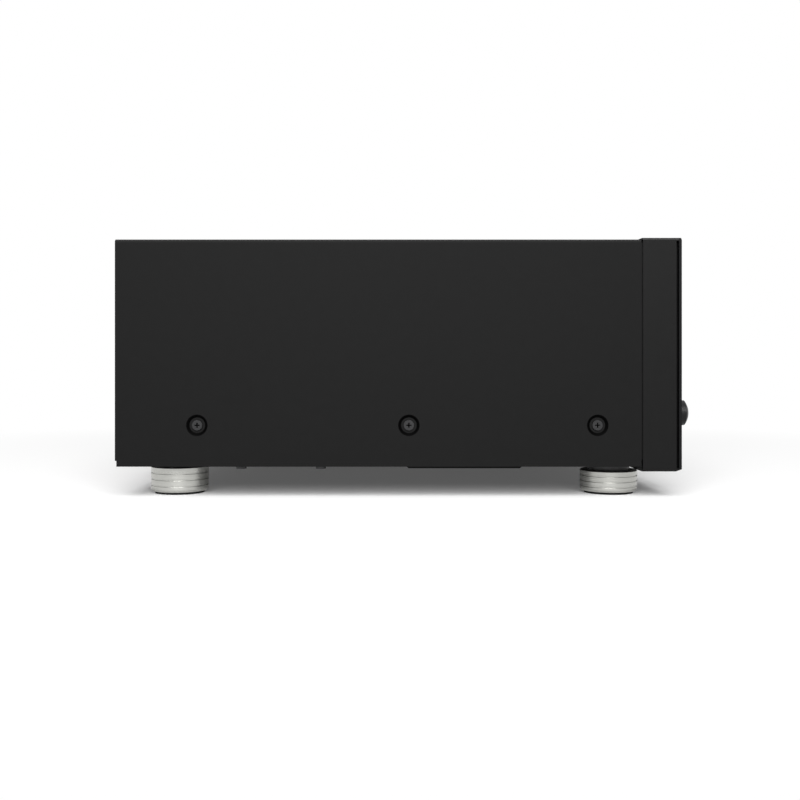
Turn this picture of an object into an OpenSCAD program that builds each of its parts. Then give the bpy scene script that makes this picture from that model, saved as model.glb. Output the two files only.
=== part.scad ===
// AV receiver: a full-width steel casing behind a moulded front, on four ringed feet.
// Turning knobs, travelling keys, screw-down speaker terminals and a cooling fan all move.
// The front faces -Y, +X is on the right of someone facing it, and the feet stand on z = 0.
// The origin is below the middle of the whole part, knobs and terminals included.

/* [Casing] */
// Width across the casing and the front
body_w = 435; // [430:1:440]
// Height of the cover's top above the floor
cover_top = 174; // [172:0.1:177]
// Height of the cover's lower edge above the floor
cover_bottom = 21.6; // [21:0.1:23]
// Length of the cover from front to back
cover_len = 352.5; // [350:0.5:360]
// Thickness of the cover's and rear panel's sheet steel
sheet_t = 1; // [0.8:0.1:1.2]
// Outer radius of the cover's two top bends
bend_r = 2.4; // [2:0.1:3]
// Width of the cover's turned-in rear flange
rear_flange_w = 11; // [9:0.5:12]
// Height of the notch at the foot of the rear flange
rear_notch_h = 3.9; // [3:0.1:5]
// Thickness of the tray under the casing
tray_t = 1.2; // [1:0.1:1.5]
// How far the tray's floor runs forward inside the front frame
tray_reach = 8; // [6:0.5:10]
// Height of the tray's side walls above its floor
tray_wall_h = 37; // [34:1:40]
// Clearance where fixed pieces seat on each other
seat_gap = 0.2; // [0.1:0.05:0.3]

/* [Cover vents] */
// Length of a vent slot
vent_len = 30; // [24:1:34]
// Width of a vent slot
vent_w = 4.6; // [4:0.1:5]
// Distance from one vent slot to the next
vent_pitch = 8; // [7:0.5:9]
// Distance from one row of slots to the next
vent_row_pitch = 37; // [36:1:38]
// Slots in each row over the amplifier
vent_count = 30; // [24:1:31]
// Slots in each row over the transformer
side_vent_count = 12; // [8:1:13]

/* [Cover screws] */
// Distances of the side screws from the cover's rear edge
side_screw_from_rear = [54.9, 196.8, 323.2]; // [40:0.1:330]
// Height of the side screws above the floor
side_screw_z = 49.3; // [47:0.1:51]
// Width of the dished recess round a side screw
dish_d = 14; // [13:0.5:16]
// Width of the flat floor of that recess
dish_floor_d = 10.6; // [10:0.2:12]
// Depth of that recess
dish_depth = 1.5; // [1.2:0.1:1.8]
// Width of a side screw's head
screw_head_d = 6.9; // [6:0.1:8]
// Height of a screw head
screw_head_h = 1.1; // [0.8:0.1:1.3]
// Width of a screw's shank
screw_d = 3; // [2.6:0.1:3.2]
// Length of a screw's shank
screw_len = 6; // [5:0.5:8]
// Width of the cross in a screw head
cross_w = 3.4; // [3:0.1:4]

/* [Front] */
// Depth of the moulded front frame
frame_depth = 24.2; // [23:0.1:26]
// Thickness of the frame's walls
frame_wall = 2.5; // [2:0.1:3]
// How far the frame stands above the cover
frame_rise = 1; // [0.8:0.1:1.6]
// Height of the frame's lower edge above the floor
frame_bottom = 18.2; // [17.6:0.1:19]
// Size of the bevels along the frame's upper edges
frame_bevel = 1.7; // [1:0.1:2]
// Size of the bevels along the frame's lower edges
frame_foot_bevel = 2.2; // [1.4:0.1:2.4]
// How far the frame's sloped edge reaches back over the cover
overlap_len = 2.2; // [1.6:0.1:3]
// How far the frame's lower edge reaches back below the cover
underlap_len = 3.5; // [2:0.5:5]
// Width of the shadow gap behind the front plate
groove_w = 1.8; // [1.2:0.1:2.4]
// Depth of that shadow gap
groove_depth = 4; // [2.5:0.5:5]
// Thickness of the front plate
plate_t = 1.8; // [1.8:0.1:2.5]
// Height of the slope along the foot of the front
chin_h = 1.5; // [1:0.1:2]
// Depth of that slope
chin_len = 3.4; // [2.5:0.1:4]
// Gap between the front frame and the cover
seam_gap = 1; // [0.8:0.1:1.5]
// Length of the frame's lip inside the cover
lip_len = 7; // [6:0.5:8]
// Clearance round what passes through the front
pass_gap = 0.3; // [0.2:0.05:0.4]
// Distance from the frame's front wall to the front board
board_space = 12; // [12:0.5:14]
// Thickness of the circuit boards
board_t = 1.6; // [1.2:0.2:2]
// Distance from the side to the front board's ends
board_inset = 12.5; // [10:0.5:16]
// Distance from the frame's top down to the front board
board_head_gap = 18; // [16:1:24]
// Distance from the frame's foot up to the front board
board_foot_gap = 26; // [22:1:30]

/* [Display] */
// Width of the display window
window_w = 196; // [180:1:200]
// Height of the display window
window_h = 40; // [34:1:44]
// Sideways position of the window's centre
window_x = -6; // [-10:1:-2]
// Distance from the cover's top down to the window's centre
window_drop = 43; // [40:1:47]

/* [Knobs] */
// Width of the volume knob
volume_d = 64; // [56:1:66]
// How far the volume knob stands out of the front plate
volume_out = 22; // [18:0.5:24]
// Sideways position of the volume knob
volume_x = 146; // [144:1:150]
// Width of the input knob
selector_d = 44; // [36:1:46]
// How far the input knob stands out of the front plate
selector_out = 15; // [13:0.5:16]
// Sideways position of the input knob
selector_x = -143; // [-146:1:-140]
// Distance from the cover's top down to both knobs' centres
knob_drop = 52; // [48:1:56]
// Gap between a knob and the front plate
knob_gap = 1; // [0.8:0.1:1.5]
// Thickness of a knob's walls
knob_wall = 3; // [2.5:0.1:4]
// Width of the knobs' shafts
shaft_d = 6; // [5:0.5:6.5]
// Running clearance round the shafts
shaft_gap = 0.05; // [0.03:0.01:0.08]

/* [Power button and keys] */
// Width of the power button
power_d = 17.4; // [14:0.2:18]
// How far the power button stands out of the front plate
power_out = 12.1; // [10:0.1:13]
// Distance from the side to the power button's centre
power_inset = 27.5; // [26:0.5:32]
// Height of the power button above the floor
power_z = 56.6; // [52:0.1:60]
// Travel of the power button
power_travel = 2.5; // [2:0.1:3]
// Number of keys under the display
key_count = 5; // [3:1:5]
// Width of a key
key_w = 22; // [18:1:24]
// Height of a key
key_h = 6; // [5:0.2:7]
// Distance from one key to the next
key_pitch = 34; // [32:1:36]
// Distance from the window's centre down to the keys' centres
key_drop = 43; // [40:1:46]
// How far a key stands out of the front plate
key_out = 2; // [1.6:0.1:2.4]
// Travel of a key
key_travel = 0.8; // [0.5:0.1:1]

/* [Front sockets] */
// Height of the front sockets' centres above the floor
front_socket_z = 48; // [45:1:52]
// Bore of the headphone socket
headphone_d = 6.5; // [6.4:0.05:6.6]
// Sideways position of the headphone socket
headphone_x = -143; // [-150:1:-130]
// Sideways position of the data socket
data_x = 96; // [90:1:98]
// Width of the data socket's mouth
data_w = 12.6; // [12:0.1:13]
// Height of the data socket's mouth
data_h = 5.2; // [5:0.1:5.4]
// Sideways position of the first phono socket
phono_x = 124; // [120:1:128]
// Distance from one front phono socket to the next
phono_pitch = 19; // [17:0.5:20]
// Width of a phono socket's barrel
phono_d = 8.3; // [8.2:0.05:8.4]
// How far a phono barrel stands out
phono_out = 8; // [7:0.5:9]

/* [Feet] */
// Width of a foot
foot_d = 40; // [39:0.5:42]
// Width of the black core inside a foot's ring
foot_core_d = 29; // [26:0.5:29.5]
// Height of the front feet's ring tops above the floor
front_foot_h = 16.3; // [14:0.1:17]
// Height of the rear feet's ring tops above the floor
rear_foot_h = 19; // [18:0.1:20]
// Distance from the side to the feet's centres
foot_inset_x = 38; // [34:1:42]
// Distance from the frame's back to the front feet's centres
foot_inset_front = 15; // [15:0.5:20]
// Distance from the cover's rear edge to the rear feet's centres
foot_inset_rear = 35; // [30:0.5:40]
// Thickness of the rubber pads
pad_t = 1.5; // [1.2:0.1:2]
// Grooves round each foot
foot_grooves = 3; // [2:1:4]
// Width of a foot's grooves
groove_ring_w = 0.9; // [0.6:0.1:1]
// Depth of a foot's grooves
groove_ring_depth = 0.8; // [0.5:0.1:1]

/* [Speaker terminals] */
// Pairs of speaker terminals
post_pairs = 5; // [3:1:5]
// Distance between the two posts of a pair
post_pitch = 19; // [18:0.5:20]
// Distance from one pair to the next
pair_pitch = 43; // [42:0.5:45]
// Sideways position of the first pair's centre
first_pair_x = -112; // [-116:1:-108]
// Height of the posts above the floor
post_z = 50; // [48:1:56]
// How far the posts stand out behind the cover
post_out = 18; // [17:0.5:20]
// Width of a terminal cap
cap_d = 13; // [12:0.5:14]
// Width of the threaded stud inside a cap
stud_d = 6; // [5.5:0.1:7]
// Flutes round a terminal cap
cap_flutes = 12; // [8:1:16]
// Width of a flute
flute_d = 2; // [1.4:0.1:2.2]

/* [Rear sockets] */
// Distance from the cover's top down to the digital video sockets
video_drop = 24; // [22:1:28]
// Number of digital video sockets
video_count = 5; // [3:1:6]
// Distance from one digital video socket to the next
video_pitch = 23; // [21:0.5:24]
// Sideways position of the first digital video socket
video_x = -22; // [-26:1:-16]
// Width of a digital video socket's mouth
video_w = 14.2; // [14:0.1:14.6]
// Height of a digital video socket's mouth
video_h = 4.8; // [4.6:0.1:5]
// Sideways position of the network socket
network_x = 104; // [100:1:110]
// Columns of phono sockets on the rear
jack_columns = 7; // [5:1:7]
// Rows of phono sockets on the rear
jack_rows = 3; // [2:1:3]
// Distance between the rear phono sockets
jack_pitch = 17; // [15.5:0.5:17.5]
// Distance from the side to the last column of rear phono sockets
jack_inset = 31.5; // [24:0.5:34]
// Distance from the digital video sockets down to the lowest row of phono sockets
jack_drop = 62; // [60:1:66]
// Distance from the side to the round aerial socket
aerial_inset = 39.5; // [36:0.5:44]
// Distance from the round aerial socket to the pair of aerial clamps
aerial_pitch = 19; // [18:0.5:21]
// Distance from the side to the mains inlet
inlet_inset = 37.5; // [34:0.5:42]
// Height of the mains inlet above the floor
inlet_z = 60; // [56:1:66]

/* [Inside] */
// Width of the transformer's core
core_w = 96; // [84:2:100]
// Height of the transformer's core
core_h = 80; // [70:2:84]
// Depth of the transformer's stack of plates
core_depth = 46; // [40:2:50]
// Distance from the side to the transformer's centre
core_inset = 67.5; // [64:0.5:72]
// Front-to-back position of the transformer
core_y = -43; // [-50:1:-36]
// Length of the heat sink
sink_len = 250; // [230:5:255]
// Height of the heat sink
sink_h = 106; // [90:2:110]
// Depth of the heat sink's fins
fin_depth = 34; // [28:1:36]
// Thickness of a fin
fin_t = 2.4; // [2:0.2:3]
// Distance from one fin to the next
fin_pitch = 10; // [9:0.5:12]
// Thickness of the heat sink's back
sink_back = 6; // [5:0.5:8]
// Sideways position of the heat sink's left end
sink_x = -62; // [-64:1:-58]
// Front-to-back position of the heat sink's flat back
sink_y = 18; // [10:1:22]
// Power transistors on the heat sink
transistor_count = 10; // [8:1:10]
// Width of the fan
fan_w = 70; // [60:1:72]
// Depth of the fan
fan_depth = 20; // [16:1:25]
// Sideways position of the fan
fan_x = -112; // [-118:1:-108]
// Distance from the cover's top down to the fan's centre
fan_drop = 52; // [48:1:56]
// Blades of the fan
blade_count = 7; // [5:1:9]
// Tilt of the fan's blades
blade_tilt = 38; // [30:1:45]
// Width of the two reservoir capacitors
capacitor_d = 35; // [30:1:40]
// Height of the two reservoir capacitors
capacitor_h = 60; // [50:1:70]
// Height of the lower boards above the tray's floor
standoff_h = 10; // [8:0.5:12]

/* [Hidden] */
$fn = 48;

// Front to back
half_w = body_w / 2;
total_depth = volume_out + plate_t + frame_depth + seam_gap + cover_len + post_out;
y_plate = -total_depth / 2 + volume_out;
y_frame = y_plate + plate_t;
y_frame_back = y_frame + frame_depth;
y_cover = y_frame_back + seam_gap;
y_rear = y_cover + cover_len;
y_panel = y_rear - sheet_t;
y_inside = y_panel - sheet_t;
y_board = y_frame + frame_wall + groove_w + board_space;
y_subpanel = y_frame_back + lip_len + seat_gap;
y_tray = y_cover + lip_len + seat_gap;

// Heights
tray_bottom = cover_bottom + seat_gap;
tray_floor = tray_bottom + tray_t;
frame_top = cover_top + frame_rise;
frame_h = frame_top - frame_bottom;
inside_top = cover_top - sheet_t;
window_z = cover_top - window_drop;
knob_z = cover_top - knob_drop;
key_z = window_z - key_drop;
video_z = cover_top - video_drop;
jack_z = video_z - jack_drop;
fan_z = cover_top - fan_drop;

// Tray walls stand where the recesses of the side screws reach them
wall_x = half_w - sheet_t - dish_depth - seat_gap;
panel_x = half_w - sheet_t - seat_gap;
lower_board_z = tray_floor + standoff_h;

// Places set by their distance from the side
power_x = power_inset - half_w;
inlet_x = inlet_inset - half_w;
core_x = core_inset - half_w;
aerial_x = half_w - aerial_inset;
jack_x = half_w - jack_inset - (jack_columns - 1) * jack_pitch;
board_half_w = half_w - board_inset;

// Pieces that share a size
boss_d = 8;
stem_d = 5;
cap_bore_d = stud_d + 2 * shaft_gap;
knob_face = knob_wall + 2;
knob_taper = 0.8;
knob_edge = 2;
knob_dish = 0.8;
bushing_d = 9;
nut_d = 13;
encoder_w = 14;
encoder_depth = 8;
key_flange = 1.4;
switch_w = 6;
switch_h = 3.5;
switch_tip = 0.3;
socket_wall = 0.5;
inlet_w = 27.5;
inlet_h = 20;
inlet_plate_w = 48;
inlet_plate_h = 24;
clamp_w = 12.4;
clamp_h = 20.4;
headphone_body_d = 16;
collar_w = 1.5;
grille_slot_w = 3.4;
rear_vent_drop = 68;
rear_vent_len = 26;
guide_wall = 1.4;
groove_end = 0.5;
core_leg = core_w / 6;
core_bottom = tray_floor + 6;
core_top = core_bottom + core_h;
feet_y = [y_frame_back + foot_inset_front, y_rear - foot_inset_rear];
foot_x = half_w - foot_inset_x;
foot_r = foot_d / 2;
foot_bore_r = foot_core_d / 2 + seat_gap;
foot_collar_r = foot_r - 2.5;
foot_collar_top = pad_t + 2;

function arc_points(cx, cy, r, from, to, steps = 6) =
  [for (i = [0:steps]) let (a = from + (to - from) * i / steps) [cx + r * cos(a), cy + r * sin(a)]];
function rounded_points(w, h, r) = concat(
  arc_points(w / 2 - r, h / 2 - r, r, 0, 90),
  arc_points(r - w / 2, h / 2 - r, r, 90, 180),
  arc_points(r - w / 2, r - h / 2, r, 180, 270),
  arc_points(w / 2 - r, r - h / 2, r, 270, 360)
);
function bevelled_points(w, z0, z1, low, high) = [
  [low - w / 2, z0], [w / 2 - low, z0], [w / 2, z0 + low], [w / 2, z1 - high],
  [w / 2 - high, z1], [high - w / 2, z1], [-w / 2, z1 - high], [-w / 2, z0 + low]
];
function key_x(i) = window_x + (i - (key_count - 1) / 2) * key_pitch;
function post_x(i) = first_pair_x + floor(i / 2) * pair_pitch + (i % 2 == 0 ? -1 : 1) * post_pitch / 2;
function video_socket_x(i) = video_x + i * video_pitch;

// Flat outlines drawn in x and z, given a depth from y0 to y1
module along_y(y0, y1) {
  translate([0, y1, 0]) rotate([90, 0, 0]) linear_extrude(height = y1 - y0) children();
}

// Flat outlines drawn in y and z, given a width from x0 to x1
module along_x(x0, x1) {
  translate([x0, 0, 0]) rotate([90, 0, 90]) linear_extrude(height = x1 - x0) children();
}

module block(x0, x1, y0, y1, z0, z1) {
  translate([x0, y0, z0]) cube([x1 - x0, y1 - y0, z1 - z0]);
}

module rod_y(x, z, d, y0, y1) {
  translate([x, y1, z]) rotate([90, 0, 0]) cylinder(d = d, h = y1 - y0);
}

module at_front(x, z) {
  translate([x, 0, z]) children();
}

module mirrored_x() {
  children();
  mirror([1, 0, 0]) children();
}

// A vent slot with round ends, lying along the flat outline's second axis
module slot_outline(w, len) {
  square([w, len - w], center = true);
  for (end = [-1, 1]) translate([0, end * (len - w) / 2]) circle(d = w);
}

module screw_cross(depth) {
  for (turn = [0, 90]) rotate([0, 0, turn]) translate([-cross_w / 2, -0.4, 0]) cube([cross_w, 0.8, depth]);
}

// A screw pointing down, with its head standing on z = 0
module screw(head_d, head_h, len) {
  difference() {
    union() {
      cylinder(d = head_d, h = head_h);
      translate([0, 0, -len]) cylinder(d = screw_d, h = len);
    }
    translate([0, 0, head_h - 0.7]) screw_cross(1);
  }
}

// Cover
module cover_outline() {
  outer_r = bend_r;
  inner_r = bend_r - sheet_t;
  inner_w = half_w - sheet_t;
  polygon(concat(
    [[-half_w, cover_bottom]],
    arc_points(outer_r - half_w, cover_top - outer_r, outer_r, 180, 90),
    arc_points(half_w - outer_r, cover_top - outer_r, outer_r, 90, 0),
    [[half_w, cover_bottom], [inner_w, cover_bottom]],
    arc_points(inner_w - inner_r, inside_top - inner_r, inner_r, 0, 90),
    arc_points(inner_r - inner_w, inside_top - inner_r, inner_r, 90, 180),
    [[-inner_w, cover_bottom]]
  ));
}

module rear_flange_outline() {
  difference() {
    translate([sheet_t - half_w, cover_bottom + rear_notch_h])
      square([body_w - 2 * sheet_t, inside_top - cover_bottom - rear_notch_h]);
    translate([rear_flange_w - half_w, cover_bottom])
      square([body_w - 2 * rear_flange_w, cover_top - rear_flange_w - cover_bottom]);
  }
}

module vent_field(x0, count, y0, rows) {
  for (row = [0:rows - 1])
    for (i = [0:count - 1])
      translate([x0 + i * vent_pitch, y0 + row * vent_row_pitch]) slot_outline(vent_w, vent_len);
}

// Puts a piece at each side screw with z pointing out of the cover's side
module at_side_screws() {
  for (from_rear = side_screw_from_rear)
    for (side = [-1, 1])
      translate([side * half_w, y_rear - from_rear, side_screw_z]) rotate([0, side * 90, 0]) children();
}

rear_screw_inset = 34.8;
rear_screw_x = [rear_screw_inset - half_w, 0, half_w - rear_screw_inset];
rear_screw_z = cover_top - rear_flange_w / 2;

module top_cover() {
  color("#2b2b2b") difference() {
    union() {
      along_y(y_cover, y_rear) cover_outline();
      along_y(y_panel, y_rear) rear_flange_outline();
      at_side_screws() translate([0, 0, -sheet_t - dish_depth])
        cylinder(d = dish_d + 2, h = dish_depth + sheet_t / 2);
    }
    at_side_screws() {
      translate([0, 0, -dish_depth]) cylinder(d1 = dish_floor_d, d2 = dish_d, h = dish_depth);
      translate([0, 0, -2 * dish_depth - sheet_t]) cylinder(d = screw_d + 1, h = 2 * dish_depth + sheet_t);
    }
    translate([0, 0, inside_top - 1]) linear_extrude(height = sheet_t + 2) {
      vent_field(sink_x + fin_pitch, vent_count, sink_y - fin_depth, 3);
      vent_field(core_x - core_w / 2, side_vent_count, core_y - 20, 2);
    }
    for (x = rear_screw_x) rod_y(x, rear_screw_z, screw_d + 1, y_panel - 1, y_rear + 1);
    for (side = [-1, 1])
      translate([side * half_w - sheet_t, y_rear - sheet_t, cover_bottom - 1])
        cube([2 * sheet_t, 2 * sheet_t, rear_notch_h + 1]);
  }
}

module cover_side_screws() {
  color("#4a4a4a") at_side_screws()
    translate([0, 0, -dish_depth]) screw(screw_head_d, screw_head_h, screw_len);
}

module rear_screws() {
  color("#2f2f2f") for (x = rear_screw_x)
    translate([x, y_rear, rear_screw_z]) rotate([-90, 0, 0])
      screw(screw_head_d, screw_head_h + 0.9, screw_len);
}

// Tray
pad_y0 = core_y - 41;
pad_y1 = core_y + 41;
pad_x0 = core_x - 54;
pad_x1 = core_x + 54;
pad_drop = 2.6;
pad_slope = 3;
bottom_screw_from_rear = [137, 83];
bottom_screw_y = [for (from_rear = bottom_screw_from_rear) y_rear - from_rear];
bottom_screw_x = wall_x - 8;

module pressed_pad_outline(drop) {
  polygon([
    [pad_y0, tray_bottom + drop], [pad_y0 + pad_slope, tray_bottom + drop - pad_drop],
    [pad_y1 - pad_slope, tray_bottom + drop - pad_drop], [pad_y1, tray_bottom + drop]
  ]);
}

amp_x0 = sink_x;
amp_x1 = sink_x + sink_len;
amp_y0 = sink_y + 0.5;
amp_y1 = amp_y0 + 96;
supply_x0 = -60;
supply_x1 = 190;
supply_y0 = y_subpanel + 16;
supply_y1 = sink_y - fin_depth - sink_back - 6;
main_x0 = video_x - 50;
main_x1 = network_x + 20;
main_y0 = amp_y1 + 4;
main_y1 = y_inside - 1;
main_z = video_z - video_h / 2 - socket_wall - board_t;
network_h = 13.3;
network_z = main_z + board_t + network_h / 2;

post_d = 7;
hole_inset = 8;
function board_holes(x0, x1, y0, y1) =
  [for (x = [x0 + hole_inset, x1 - hole_inset]) for (y = [y0 + hole_inset, y1 - hole_inset]) [x, y]];

module bottom_chassis() {
  color("#8d8f90") difference() {
    union() {
      block(-wall_x, wall_x, y_frame_back - tray_reach, y_inside, tray_bottom, tray_floor);
      mirrored_x()
        block(wall_x - tray_t, wall_x, y_tray, y_inside, tray_floor - tray_t / 2, tray_floor + tray_wall_h);
      along_x(pad_x0, pad_x1) pressed_pad_outline(0);
    }
    along_x(pad_x0 + pad_slope, pad_x1 - pad_slope) pressed_pad_outline(tray_t);
    translate([0, 0, tray_bottom - 1]) linear_extrude(height = tray_t + 2)
      for (row = [0:2]) for (i = [0:13])
        translate([sink_x + 30 + i * 2 * vent_pitch, sink_y + 20 + row * vent_row_pitch])
          slot_outline(vent_w, vent_len);
    at_side_screws() translate([0, 0, -screw_len - 3]) cylinder(d = screw_d + 0.4, h = screw_len + 3);
    mirrored_x() for (y = bottom_screw_y)
      translate([bottom_screw_x, y, tray_bottom - 1]) cylinder(d = screw_d + 0.4, h = tray_t + 2);
  }
}

// Round posts that carry the boards, the two tall ones under the main board's front edge
module board_post(place, top) {
  translate([place[0], place[1], tray_floor]) cylinder(d = post_d, h = top - tray_floor);
}

module board_posts() {
  color("#a8a9a6") {
    for (place = board_holes(amp_x0, amp_x1, amp_y0, amp_y1)) board_post(place, lower_board_z);
    for (place = board_holes(supply_x0, supply_x1, supply_y0, supply_y1)) board_post(place, lower_board_z);
    for (x = [main_x0 + hole_inset, main_x1 - hole_inset]) board_post([x, main_y0 + hole_inset], main_z);
  }
}

module bottom_screws() {
  color("#3a3a3a") mirrored_x() for (y = bottom_screw_y)
    translate([bottom_screw_x, y, tray_bottom]) rotate([180, 0, 0]) screw(screw_head_d, 2.4, screw_len);
}

// Feet
module foot_ring(x, y, top) {
  pitch = (top - pad_t) / (foot_grooves + 1);
  r = foot_r;
  edge = 2;
  translate([x, y, 0]) rotate_extrude($fn = 72) difference() {
    polygon(concat(
      [[foot_bore_r, foot_collar_top]],
      [[foot_collar_r, foot_collar_top], [foot_collar_r, pad_t]],
      arc_points(r - edge, pad_t + edge, edge, -90, 0),
      [[r, top - 0.6], [r - 0.6, top], [foot_bore_r + 2, top], [foot_bore_r, top - 1.6]]
    ));
    for (i = [1:foot_grooves])
      translate([r - groove_ring_depth, pad_t + i * pitch - groove_ring_w / 2]) square([2, groove_ring_w]);
  }
}

module foot_pair(y, top) {
  color("#c8c8c4") for (side = [-1, 1]) foot_ring(side * foot_x, y, top);
}

module each_foot() {
  for (side = [-1, 1]) for (y = feet_y) translate([side * foot_x, y, 0]) children();
}

module foot_cores() {
  color("#1c1c1c") each_foot() {
    translate([0, 0, pad_t]) cylinder(r = foot_collar_r - seat_gap, h = foot_collar_top - seat_gap - pad_t);
    translate([0, 0, pad_t]) cylinder(d = foot_core_d, h = tray_bottom - pad_t);
  }
}

module foot_pads() {
  color("#141414") each_foot() cylinder(r = foot_collar_r - 0.5, h = pad_t);
}

// Front frame: a hollow moulding, open at the back, whose front wall carries the plate
module through_front(y0, y1) {
  along_y(y0, y1) {
    translate([window_x, window_z]) square([window_w - 6, window_h - 6], center = true);
    translate([window_x, key_z]) square([(key_count - 1) * key_pitch + key_w + 8, key_h + 8], center = true);
    translate([data_x, front_socket_z]) square([data_w + 4, data_h + 4], center = true);
    translate([power_x, power_z]) circle(d = power_d + 2 * pass_gap);
    for (x = [volume_x, selector_x]) translate([x, knob_z]) circle(d = bushing_d + 2 * pass_gap);
    translate([headphone_x, front_socket_z]) circle(d = headphone_d + 5 + 2 * pass_gap);
    for (i = [0:2])
      translate([phono_x + i * phono_pitch, front_socket_z]) circle(d = phono_d + 2 * pass_gap);
  }
}

frame_boss_inset = 9.5;
frame_boss_x = [frame_boss_inset - half_w, half_w - frame_boss_inset];
frame_boss_z = [frame_bottom + 18, frame_top - 12];
collar_d = power_d + 2 * collar_w;
guide_d = collar_d + 2 * pass_gap;

module frame_outline() {
  polygon(bevelled_points(body_w, frame_bottom, frame_top, frame_foot_bevel, frame_bevel));
}

// What fits inside the cover, from a height z0 up
module lining_outline(z0) {
  corner = bend_r - sheet_t;
  polygon(bevelled_points(2 * panel_x, z0, inside_top - seat_gap, corner, corner));
}

// The slope along the foot of the front, cut across the plate and the frame
module chin_cut() {
  along_x(-half_w - 1, half_w + 1) polygon([
    [y_plate - 1, frame_bottom - 1], [y_plate + chin_len, frame_bottom - 1],
    [y_plate + chin_len, frame_bottom],
    [y_plate - 1, frame_bottom + chin_h + chin_h / chin_len]
  ]);
}

// Sloped rear edges: the upper one lies over the cover, the lower one runs below it, clear of the feet
module frame_rear_edges() {
  lap = 1;
  ledge = 2;
  intersection() {
    along_y(y_frame_back - lap, y_frame_back + overlap_len) frame_outline();
    along_x(-half_w, half_w) polygon([
      [y_frame_back - lap, cover_top + seat_gap], [y_frame_back + overlap_len, cover_top + seat_gap],
      [y_frame_back, frame_top], [y_frame_back - lap, frame_top]
    ]);
  }
  difference() {
    along_x(frame_foot_bevel - half_w, half_w - frame_foot_bevel) polygon([
      [y_frame_back - lap, frame_bottom], [y_frame_back, frame_bottom],
      [y_frame_back + underlap_len, cover_bottom - seat_gap - ledge],
      [y_frame_back + underlap_len, cover_bottom - seat_gap], [y_frame_back - lap, cover_bottom - seat_gap]
    ]);
    each_foot() cylinder(d = foot_core_d + 2 * pass_gap, h = cover_bottom);
  }
}

module front_frame() {
  hollow_front = y_frame + groove_w + frame_wall;
  color("#2d2d2d") difference() {
    union() {
      difference() {
        along_y(y_frame, y_frame_back) frame_outline();
        along_y(hollow_front, y_frame_back + 1)
          translate([frame_wall - half_w, frame_bottom + frame_wall])
            square([body_w - 2 * frame_wall, frame_h - 2 * frame_wall]);
      }
      difference() {
        along_y(y_frame_back - frame_wall, y_frame_back + lip_len)
          lining_outline(tray_floor + 2);
        along_y(y_frame_back - 2 * frame_wall, y_frame_back + lip_len + 1)
          translate([frame_wall - panel_x, tray_floor])
            square([2 * (panel_x - frame_wall), inside_top - seat_gap - frame_wall - tray_floor]);
      }
      for (x = frame_boss_x) for (z = frame_boss_z)
        rod_y(x, z, boss_d, hollow_front - frame_wall / 2, y_subpanel - seat_gap);
      frame_rear_edges();
      rod_y(power_x, power_z, guide_d + 2 * guide_wall, hollow_front - frame_wall / 2, y_board - seat_gap);
    }
    rod_y(power_x, power_z, guide_d, hollow_front, y_board);
    chin_cut();
    through_front(y_frame - 1, hollow_front + 1);
    mirrored_x() block(half_w - groove_depth, half_w + 1, y_frame - 1, y_frame + groove_w,
      frame_bottom + frame_foot_bevel, frame_top - frame_bevel - groove_end);
    for (x = frame_boss_x) for (z = frame_boss_z)
      rod_y(x, z, screw_d, y_subpanel - 12, y_subpanel + 1);
  }
}

module key_outline(gap) {
  polygon(rounded_points(key_w + 2 * gap, key_h + 2 * gap, key_h / 2 + gap - 0.01));
}

module front_plate() {
  color("#303030") difference() {
    along_y(y_plate, y_frame) difference() {
      frame_outline();
      translate([window_x, window_z])
        square([window_w + 2 * pass_gap, window_h + 2 * pass_gap], center = true);
      for (i = [0:key_count - 1]) translate([key_x(i), key_z]) key_outline(pass_gap);
      translate([data_x, front_socket_z]) square([data_w + 2, data_h + 2], center = true);
      translate([power_x, power_z]) circle(d = power_d + 2 * pass_gap);
      for (x = [volume_x, selector_x]) translate([x, knob_z]) circle(d = nut_d + 4);
      translate([headphone_x, front_socket_z]) circle(d = headphone_d + 5 + 2 * pass_gap);
      for (i = [0:2])
        translate([phono_x + i * phono_pitch, front_socket_z]) circle(d = phono_d + 2 * pass_gap);
    }
    chin_cut();
  }
}

// Front sub-panel: a steel sheet across the casing with its top and foot turned back
module front_subpanel() {
  cable_slot_w = 120;
  cable_slot_h = 22;
  slot_x = 105;
  slot_z = 105;
  reach = 12;
  top = inside_top - seat_gap - 2;
  color("#8d8f90") difference() {
    along_x(-wall_x + tray_t + seat_gap, wall_x - tray_t - seat_gap) polygon([
      [y_subpanel, tray_floor], [y_subpanel + reach, tray_floor], [y_subpanel + reach, tray_floor + tray_t],
      [y_subpanel + tray_t, tray_floor + tray_t], [y_subpanel + tray_t, top - tray_t],
      [y_subpanel + reach, top - tray_t], [y_subpanel + reach, top], [y_subpanel, top]
    ]);
    along_y(y_subpanel - 1, y_subpanel + tray_t + 1) {
      for (side = [-1, 1])
        translate([side * slot_x, slot_z]) square([cable_slot_w, cable_slot_h], center = true);
      translate([0, 60]) square([60, 18], center = true);
      for (x = frame_boss_x) for (z = frame_boss_z) translate([x, z]) circle(d = screw_d + 0.4);
    }
  }
}

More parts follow.
